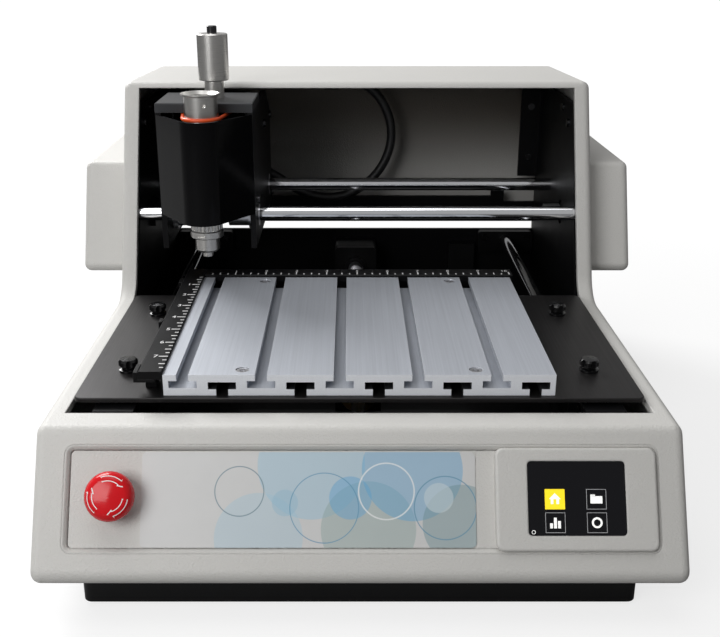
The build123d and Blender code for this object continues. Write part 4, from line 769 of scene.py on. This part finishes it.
class ENGRAVER_OT_head_cable(bpy.types.Operator):
    """Draws the head cable that loops from the hood to the carriage"""

    bl_idname = "engraver.head_cable"
    bl_label = "Draw Head Cable"

    def execute(self, context):
        marks = context.scene.engraver_marks
        radius = marks.cable_diameter / 2
        path = self.line(context)
        mesh = tube_mesh("head-cable", path, [radius] * len(path))
        mesh.materials.append(jacket_finish().material)
        piece = placed("head-cable", mesh)
        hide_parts("head_cable")
        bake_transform(piece)
        rubber = plain_finish("sleeve rubber", (0.016, 0.016, 0.017), 0.6).material
        gland_end = self.sleeve("gland-sleeve", path, GLAND_SLEEVE, radius)
        plate_end = self.sleeve("plate-sleeve", path[::-1], PLATE_SLEEVE, radius)
        sleeves = [
            new_piece("gland-sleeve", gland_end, "frame", rubber),
            new_piece("plate-sleeve", plate_end, "x_carriage", rubber),
        ]
        return {"FINISHED"}

    def line(self, context):
        """The cable's smooth middle line, from the gland to the carriage's rear plate."""
        plane = 234.0
        route = [
            (-12.7, plane, 265.8), (2.1, plane, 265.8), (17.9, plane, 258.1),
            (29.6, plane, 241.9), (36.3, plane, 222.0), (35.2, plane, 199.6),
            (25.6, plane, 178.2), (9.3, plane, 160.9), (-12.6, plane, 149.7),
            (-36.5, plane, 148.2), (-59.9, plane, 156.3), (-74.0, plane, 166.5),
            (-85.2, plane, 173.4), (-94.4, 229.4, 179.6), (-101.4, 221.0, 184.3),
            (-105.2, 210.0, 186.9), (-105.2, 199.5, 186.9),
        ]
        curve = bpy.data.curves.new("head-cable-line", "CURVE")
        curve.dimensions = "3D"
        spline = curve.splines.new("NURBS")
        spline.points.add(len(route) - 1)
        for point, (x, y, z) in zip(spline.points, route):
            point.co = (x * MM, y * MM, z * MM, 1.0)
        spline.order_u = 3
        spline.use_endpoint_u = True
        curve.resolution_u = 12
        line = placed("head-cable-line", curve)
        context.view_layer.update()
        track = bpy.data.meshes.new_from_object(line)
        path = [vertex.co.copy() for vertex in track.vertices]
        bpy.data.meshes.remove(track)
        bpy.data.objects.remove(line)
        return path

    def sleeve(self, name, path, length, radius):
        """A ribbed strain relief that tapers along the first stretch of the path."""
        points, radii = [], []
        runs = zip(path, path[1:])
        here, ahead = next(runs)
        done = offset = 0.0
        while done <= length:
            while offset > (ahead - here).length:
                offset -= (ahead - here).length
                here, ahead = next(runs)
            points.append(here + (ahead - here).normalized() * offset)
            taper = radius + SLEEVE_WALL - SLEEVE_TAPER * done / length
            inside = RIB_MARGIN < done < length - RIB_MARGIN
            groove = inside and (done / MM) % RIB_PITCH >= RIB_WIDTH
            radii.append(taper - (RIB_DEPTH * (1 - done / length) if groove else 0.0))
            done += SLEEVE_STEP
            offset += SLEEVE_STEP
        return tube_mesh(name, points, radii)


class ENGRAVER_OT_finishes(bpy.types.Operator):
    """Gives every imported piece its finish"""

    bl_idname = "engraver.finishes"
    bl_label = "Apply Finishes"

    def execute(self, context):
        looks = context.scene.engraver_finishes
        dulled = tuple(part * 0.5 for part in looks.chrome)
        stop_dome = (STOP_X, STOP_DOWN, STOP_DOME)
        finishes = (
            (pebble_finish("casing plastic", looks.casing, looks.casing_grain),
             ["casing", "screen_bezel"]),
            (sheet_finish("black anodised plate", looks.black, 0.42), [
                "rear_cross_plate", "rear_base_plate", "gantry_plate_left",
                "gantry_plate_right", "screw_bearings", "y_rail_blocks", "ruler_brackets",
                "y_carriage", "carriage_left_plate", "carriage_right_plate",
                "carriage_back_plate", "carriage_middle_plate", "z_slide",
                "spindle_housing", "motor_pulley",
            ]),
            (sheet_finish("dark block", (0.05, 0.051, 0.054), 0.42, 0.6), ["top_block"]),
            (gloss_finish("base paint", looks.black, 0.3, 0.1), ["base_pan"]),
            (brushed_finish("deck plate", looks.deck, 0.4, 1, 0.75, 0.25), ["deck_plate"]),
            (table_finish(looks), ["t_slot_table"]),
            (sheet_finish("ruler black", looks.black, 0.36), ["x_ruler", "y_ruler"]),
            (polished_finish("rail chrome", looks.chrome, 0),
             ["x_rail_front", "x_rail_rear", "z_guide_shafts"]),
            (polished_finish("long rail steel", dulled, 1), ["y_rail_left", "y_rail_right"]),
            (turned_finish("turned steel", looks.steel, 0.3), ["spindle_shaft", "nose_dial"]),
            (turned_finish("barrel steel", looks.steel, 0.3, BARREL_CAP_Z), ["z_motor"]),
            (turned_finish("screw steel", (0.72, 0.72, 0.74), 0.34), [
                "table_screws", "x_screw", "y_screw", "z_screw", "x_bearings", "y_bearings",
            ]),
            (gloss_finish("cover gloss", looks.cover, 0.09, 0.0, 0.1), ["spindle_cover"]),
            (gloss_finish("knob gloss", looks.cover, 0.16, 0.2), [
                "knob_left_front", "knob_left_rear", "knob_right_front", "knob_right_rear",
            ]),
            (plain_finish("foot rubber", (0.02, 0.02, 0.02), 0.8), ["rubber_feet"]),
            (plain_finish("belt urethane", looks.belt, 0.42), ["drive_belt"]),
            (turned_finish("nut brass", (0.72, 0.53, 0.25), 0.32), ["x_nut", "y_nut"]),
            (sheet_finish("black plastic", (0.006, 0.006, 0.0065), 0.46), [
                "x_motor", "y_motor", "spindle_motor", "estop_collar", "estop_stem",
                "power_inlet", "power_switch", "cable_gland",
            ]),
            (turned_finish("blackened screws", (0.10, 0.10, 0.105), 0.24),
             ["frame_screws", "carriage_screws"]),
            (gloss_finish("stop red", looks.stop_red, 0.16, 0.0, 0.3, stop_dome), ["estop_cap"]),
            (gloss_finish("screen glass", (0.004, 0.004, 0.006), 0.06, 0.1, 0.2),
             ["touch_screen"]),
            (overlay_finish(looks), ["front_overlay"]),
        )
        for finish, nodes in finishes:
            for node in nodes:
                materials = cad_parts[node].data.materials
                materials.clear()
                materials.append(finish.material)
        return {"FINISHED"}


class ENGRAVER_OT_panel_cove(bpy.types.Operator):
    """Lays the moulded cove along the inner edge of the console's recess"""

    bl_idname = "engraver.panel_cove"
    bl_label = "Lay Panel Cove"

    def execute(self, context):
        width = context.scene.engraver_marks.cove_width
        section = [(0.0, -COVE_SUNK)]
        for step in range(COVE_STEPS + 1):
            share = step / COVE_STEPS
            height = PANEL_RECESS * (0.5 + 0.5 * math.cos(math.pi * share))
            section.append((width * share, height + COVE_SKIN))
        section.append((width, -COVE_SUNK))
        shape = bmesh.new()
        rings = [
            [shape.verts.new(spot) for spot in self.ring(inward, height)]
            for inward, height in section
        ]
        for ring, following in zip(rings, rings[1:] + rings[:1]):
            bridge(shape, ring, following)
        bmesh.ops.recalc_face_normals(shape, faces=shape.faces)
        bmesh.ops.transform(shape, matrix=console_matrix(-PANEL_RECESS), verts=shape.verts)
        for face in shape.faces:
            face.smooth = True
        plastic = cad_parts["casing"].data.materials[0]
        new_piece("panel-cove", mesh_of("panel-cove", shape), "frame", plastic)
        return {"FINISHED"}

    def ring(self, inward, height):
        """The recess outline, pulled in and raised: four rounded corners."""
        radius = RECESS_CORNER - inward
        spots = []
        corners = (
            (RECESS_RIGHT, -RECESS_TOP, 0), (RECESS_LEFT, -RECESS_TOP, 90),
            (RECESS_LEFT, -RECESS_BOTTOM, 180), (RECESS_RIGHT, -RECESS_BOTTOM, 270),
        )
        middle_x, middle_y = (RECESS_LEFT + RECESS_RIGHT) / 2, -(RECESS_TOP + RECESS_BOTTOM) / 2
        for x, y, start in corners:
            x -= math.copysign(RECESS_CORNER, x - middle_x)
            y -= math.copysign(RECESS_CORNER, y - middle_y)
            for step in range(CORNER_STEPS + 1):
                angle = math.radians(start + 90 * step / CORNER_STEPS)
                spots.append((x + radius * math.cos(angle), y + radius * math.sin(angle), height))
        return spots


class ENGRAVER_OT_ruler_brackets(bpy.types.Operator):
    """Stands the left ruler on its three angle brackets"""

    bl_idname = "engraver.ruler_brackets"
    bl_label = "Stand Ruler Brackets"

    def execute(self, context):
        low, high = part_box("ruler_brackets")
        top, lip = SCALE_LOW.z, SCALE_LOW.x
        under, floor = top - ARM_THICK, low.z + FOOT_THICK
        arm = [
            (low.x, under), (low.x, high.z), (lip, high.z), (lip, top), (high.x, top),
            (high.x, under),
        ]
        foot = [
            (-4 * MM, low.z), (6 * MM, low.z), (6 * MM, floor), (1 * MM, floor),
            (1 * MM, under), (-4 * MM, under),
        ]
        foot_sides = (low.x + 5 * MM, low.x + 12.5 * MM)
        shape = bmesh.new()
        for middle, half, shift in BRACKETS:
            spans = ((middle - half) * MM, (middle + half) * MM)
            self.extrude(shape, [[(x, y, z) for x, z in arm] for y in spans])
            spot = (middle + shift) * MM
            self.extrude(shape, [[(x, spot + y, z) for y, z in foot] for x in foot_sides])
        bmesh.ops.recalc_face_normals(shape, faces=shape.faces)
        bmesh.ops.bevel(
            shape, geom=list(shape.edges), offset=BRACKET_ROUND, segments=2, profile=0.5,
            affect="EDGES",
        )
        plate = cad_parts["ruler_brackets"].data.materials[0]
        mesh = mesh_of("ruler-brackets", shape)
        piece = new_piece("ruler-brackets", mesh, "table", plate)
        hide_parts("ruler_brackets")
        return {"FINISHED"}

    def extrude(self, shape, ends):
        """A solid between two like outlines."""
        near, far = ([shape.verts.new(spot) for spot in end] for end in ends)
        shape.faces.new(near)
        shape.faces.new(far)
        bridge(shape, near, far)


class ENGRAVER_OT_scales(bpy.types.Operator):
    """Prints the inch marks and numerals on the two rulers"""

    bl_idname = "engraver.scales"
    bl_label = "Print Scales"

    def execute(self, context):
        marks = context.scene.engraver_marks
        width = marks.mark_width
        bars, side_words, cross_words = [], [], []
        for quarter in range(1, 4 * SIDE_INCHES):
            place = TABLE_HIGH.y - quarter * INCH / 4
            length = self.mark_length(marks, quarter)
            edge = SCALE_HIGH.x - SIDE_MARK_EDGE
            bars.append(bar(edge - length, place - width / 2, length, width))
            if quarter % 4 == 0:
                side_words.append((str(quarter // 4), edge - length - SIDE_NUMERAL_GAP, place))
        for quarter in range(1, 4 * CROSS_INCHES + 1):
            place = TABLE_LOW.x + quarter * INCH / 4
            length = self.mark_length(marks, quarter)
            edge = CROSS_LOW.y + CROSS_MARK_EDGE
            if place < CROSS_HIGH.x - MM:
                bars.append(bar(place - width / 2, edge, width, length))
            if quarter % 4 == 0:
                nudge = LAST_NUMERAL_SHIFT if quarter == 4 * CROSS_INCHES else 0.0
                spot = edge + length + CROSS_NUMERAL_GAP
                cross_words.append((str(quarter // 4), place + nudge, spot))
        ink = plain_finish("scale ink", (0.82, 0.82, 0.82), 0.5).material
        top = Matrix.Translation((0.0, 0.0, SCALE_HIGH.z))
        mesh = prism_mesh("scale-marks", bars, INK_DEPTH, top)
        new_piece("scale-marks", mesh, "table", ink)
        numerals = (
            ("side-numerals", side_words, marks.side_numeral),
            ("cross-numerals", cross_words, marks.cross_numeral),
        )
        for name, words, size in numerals:
            mesh = numeral_mesh(name, words, size, INK_DEPTH)
            mesh.transform(top)
            new_piece(name, mesh, "table", ink)
        return {"FINISHED"}

    def mark_length(self, marks, quarter):
        """Length of the mark at so many quarter inches."""
        if quarter % 4 == 0:
            return marks.inch_mark
        return marks.half_mark if quarter % 2 == 0 else marks.quarter_mark


class ENGRAVER_OT_screen(bpy.types.Operator):
    """Lights plain tiles with simple signs on the touch screen"""

    bl_idname = "engraver.screen"
    bl_label = "Light Screen"

    def execute(self, context):
        tile, line = context.scene.engraver_marks.tile_size, TILE_LINE
        low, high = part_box("touch_screen")
        middle = (low.x + high.x) / 2
        rise = math.hypot(high.y - low.y, high.z - low.z)
        left, right = middle + LEFT_COLUMN - tile / 2, middle + RIGHT_COLUMN - tile / 2
        upper, lower = SCREEN_TOP - FIRST_ROW, SCREEN_TOP - FIRST_ROW - ROW_PITCH
        frames = []
        for x, y in ((right, upper), (left, lower), (right, lower)):
            frames += [
                bar(x, y, tile, line), bar(x, y + tile - line, tile, line),
                bar(x, y + line, line, tile - 2 * line),
                bar(x + tile - line, y + line, line, tile - 2 * line),
            ]
        signs = self.house(left + tile / 2, upper + tile / 2, tile * 0.6)
        signs += self.folder(right + tile / 2, upper + tile / 2, tile * 0.6)
        signs += self.bars(left + tile / 2, lower + tile / 2, tile * 0.55)
        signs += self.ring(right + tile / 2, lower + tile / 2, tile * 0.17, tile * 0.10)
        signs += self.ring(low.x + 2.9 * MM, SCREEN_TOP - rise + 4.0 * MM, 0.9 * MM, 0.3 * MM)
        yellow = lit_finish("tile yellow", (0.95, 0.72, 0.02), 0.55)
        grey = lit_finish("tile grey", (0.34, 0.34, 0.35), 0.35)
        white = lit_finish("sign white", (0.86, 0.86, 0.84), 0.6)
        prints = (
            ("screen-tile-lit", [bar(left, upper, tile, tile)], 0.0, yellow),
            ("screen-tiles", frames, 0.0, grey),
            ("screen-signs", signs, SIGN_LIFT, white),
        )
        for name, outlines, raised, ink in prints:
            mesh = prism_mesh(name, outlines, PRINT_DEPTH, console_matrix(SCREEN_LIFT + raised))
            new_piece(name, mesh, "frame", ink.material)
        return {"FINISHED"}

    def house(self, x, y, size):
        """A simple house sign: a roof over a block with a doorway."""
        half = size / 2
        roof = [(x - half, y), (x + half, y), (x, y + half)]
        walls = [
            bar(x - half * 0.7, y - half * 0.8, half * 0.45, half * 0.8),
            bar(x + half * 0.25, y - half * 0.8, half * 0.45, half * 0.8),
        ]
        return [roof] + walls

    def folder(self, x, y, size):
        """A simple folder sign: a tab on a wide block."""
        half = size / 2
        return [
            bar(x - half, y - half * 0.7, size, half * 1.2),
            bar(x - half, y + half * 0.55, size * 0.4, half * 0.22),
        ]

    def bars(self, x, y, size):
        """Three upright bars of different height."""
        half = size / 2
        return [
            bar(x - half + step * size * 0.36, y - half, size * 0.26, size * height)
            for step, height in enumerate((0.45, 0.95, 0.65))
        ]

    def ring(self, x, y, radius, width, steps=24):
        """A ring, as short four-cornered stretches."""
        stretches = []
        for step in range(steps):
            a, b = (2 * math.pi * turn / steps for turn in (step, step + 1))
            stretches.append([
                (x + r * math.cos(t), y + r * math.sin(t))
                for r, t in ((radius, a), (radius + width, a), (radius + width, b), (radius, b))
            ])
        return stretches


class ENGRAVER_OT_stop_arrows(bpy.types.Operator):
    """Prints three curved arrows on the stop button's cap"""

    bl_idname = "engraver.stop_arrows"
    bl_label = "Print Stop Arrows"

    def execute(self, context):
        ink = plain_finish("arrow ink", (0.85, 0.85, 0.85), 0.45).material
        shape = bmesh.new()
        for start in ARROW_STARTS:
            self.arrow(shape, math.radians(start))
        place = console_matrix(-PANEL_RECESS)
        place = place @ Matrix.Translation((STOP_X, -STOP_DOWN, 0.0))
        bmesh.ops.transform(shape, matrix=place, verts=shape.verts)
        mesh = mesh_of("stop-arrows", shape)
        new_piece("stop-arrows", mesh, "estop_cap", ink)
        return {"FINISHED"}

    def cap_height(self, radius):
        """Height of the cap's skin above the recess's floor at this radius."""
        if radius <= CONE_RADIUS * MM:
            return (CAP_TOP - CONE_FALL * radius / (CONE_RADIUS * MM)) * MM
        return (ROLL_HEIGHT + math.sqrt(ROLL_RADIUS ** 2 - (radius / MM - ROLL_MIDDLE) ** 2)) * MM

    def arrow(self, shape, start):
        """The outline of one clockwise arrow, as a ribbon that lies on the cap."""
        shaft = ARROW_SPAN - ARROW_HEAD_SPAN
        turns = [start - shaft * step / ARROW_STEPS for step in range(ARROW_STEPS + 1)]
        neck = start - shaft
        outline = [(turn, ARROW_MIDDLE + ARROW_HALF) for turn in turns]
        outline += [
            (neck, ARROW_MIDDLE + ARROW_HEAD), (start - ARROW_SPAN, ARROW_MIDDLE),
            (neck, ARROW_MIDDLE - ARROW_HEAD),
        ]
        outline += [(turn, ARROW_MIDDLE - ARROW_HALF) for turn in reversed(turns)]
        rings = []
        for line in (outline, self.shrunk(outline)):
            rings.append([
                shape.verts.new((
                    radius * math.cos(angle), radius * math.sin(angle),
                    self.cap_height(radius) + ARROW_LIFT,
                ))
                for angle, radius in line
            ])
        bridge(shape, *rings)

    def shrunk(self, outline):
        """The outline pulled in by the ribbon's width, corner by corner."""
        flat = [Vector((angle * ARROW_MIDDLE, radius)) for angle, radius in outline]
        area = sum(a.x * b.y - b.x * a.y for a, b in zip(flat, flat[1:] + flat[:1]))
        side = 1.0 if area > 0 else -1.0
        pulled = []
        for index, here in enumerate(flat):
            before = (here - flat[index - 1]).normalized()
            after = (flat[(index + 1) % len(flat)] - here).normalized()
            normals = [Vector((-run.y, run.x)) * side for run in (before, after)]
            lean = (normals[0] + normals[1]).normalized()
            moved = here + lean * (ARROW_LINE / max(MITRE_LIMIT, lean.dot(normals[0])))
            pulled.append((moved.x / ARROW_MIDDLE, moved.y))
        return pulled


class ENGRAVER_PT_panel(bpy.types.Panel):
    """The machine's finishes, marks and build steps"""

    bl_idname = "ENGRAVER_PT_panel"
    bl_label = "Engraving Machine"
    bl_space_type = "VIEW_3D"
    bl_region_type = "UI"
    bl_category = "Engraver"

    def draw(self, context):
        layout = self.layout
        for group in (context.scene.engraver_finishes, context.scene.engraver_marks):
            box = layout.box()
            for name in group.__annotations__:
                box.prop(group, name)
        for step in STEPS:
            layout.operator(step.bl_idname)


STEPS = (
    ENGRAVER_OT_stage, ENGRAVER_OT_head_cable, ENGRAVER_OT_finishes, ENGRAVER_OT_panel_cove,
    ENGRAVER_OT_ruler_brackets, ENGRAVER_OT_scales, ENGRAVER_OT_screen, ENGRAVER_OT_stop_arrows,
)
CLASSES = (EngraverFinishes, EngraverMarks) + STEPS + (ENGRAVER_PT_panel,)


def register():
    """Adds the classes and the two groups of properties."""
    for kind in CLASSES:
        bpy.utils.register_class(kind)
    bpy.types.Scene.engraver_finishes = bpy.props.PointerProperty(type=EngraverFinishes)
    bpy.types.Scene.engraver_marks = bpy.props.PointerProperty(type=EngraverMarks)


def unregister():
    """Takes the properties and classes away again."""
    del bpy.types.Scene.engraver_marks
    del bpy.types.Scene.engraver_finishes
    for kind in reversed(CLASSES):
        bpy.utils.unregister_class(kind)


def main():
    """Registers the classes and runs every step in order."""
    register()
    for step in STEPS:
        group, name = step.bl_idname.split(".")
        getattr(getattr(bpy.ops, group), name)()


if __name__ == "__main__":
    main()
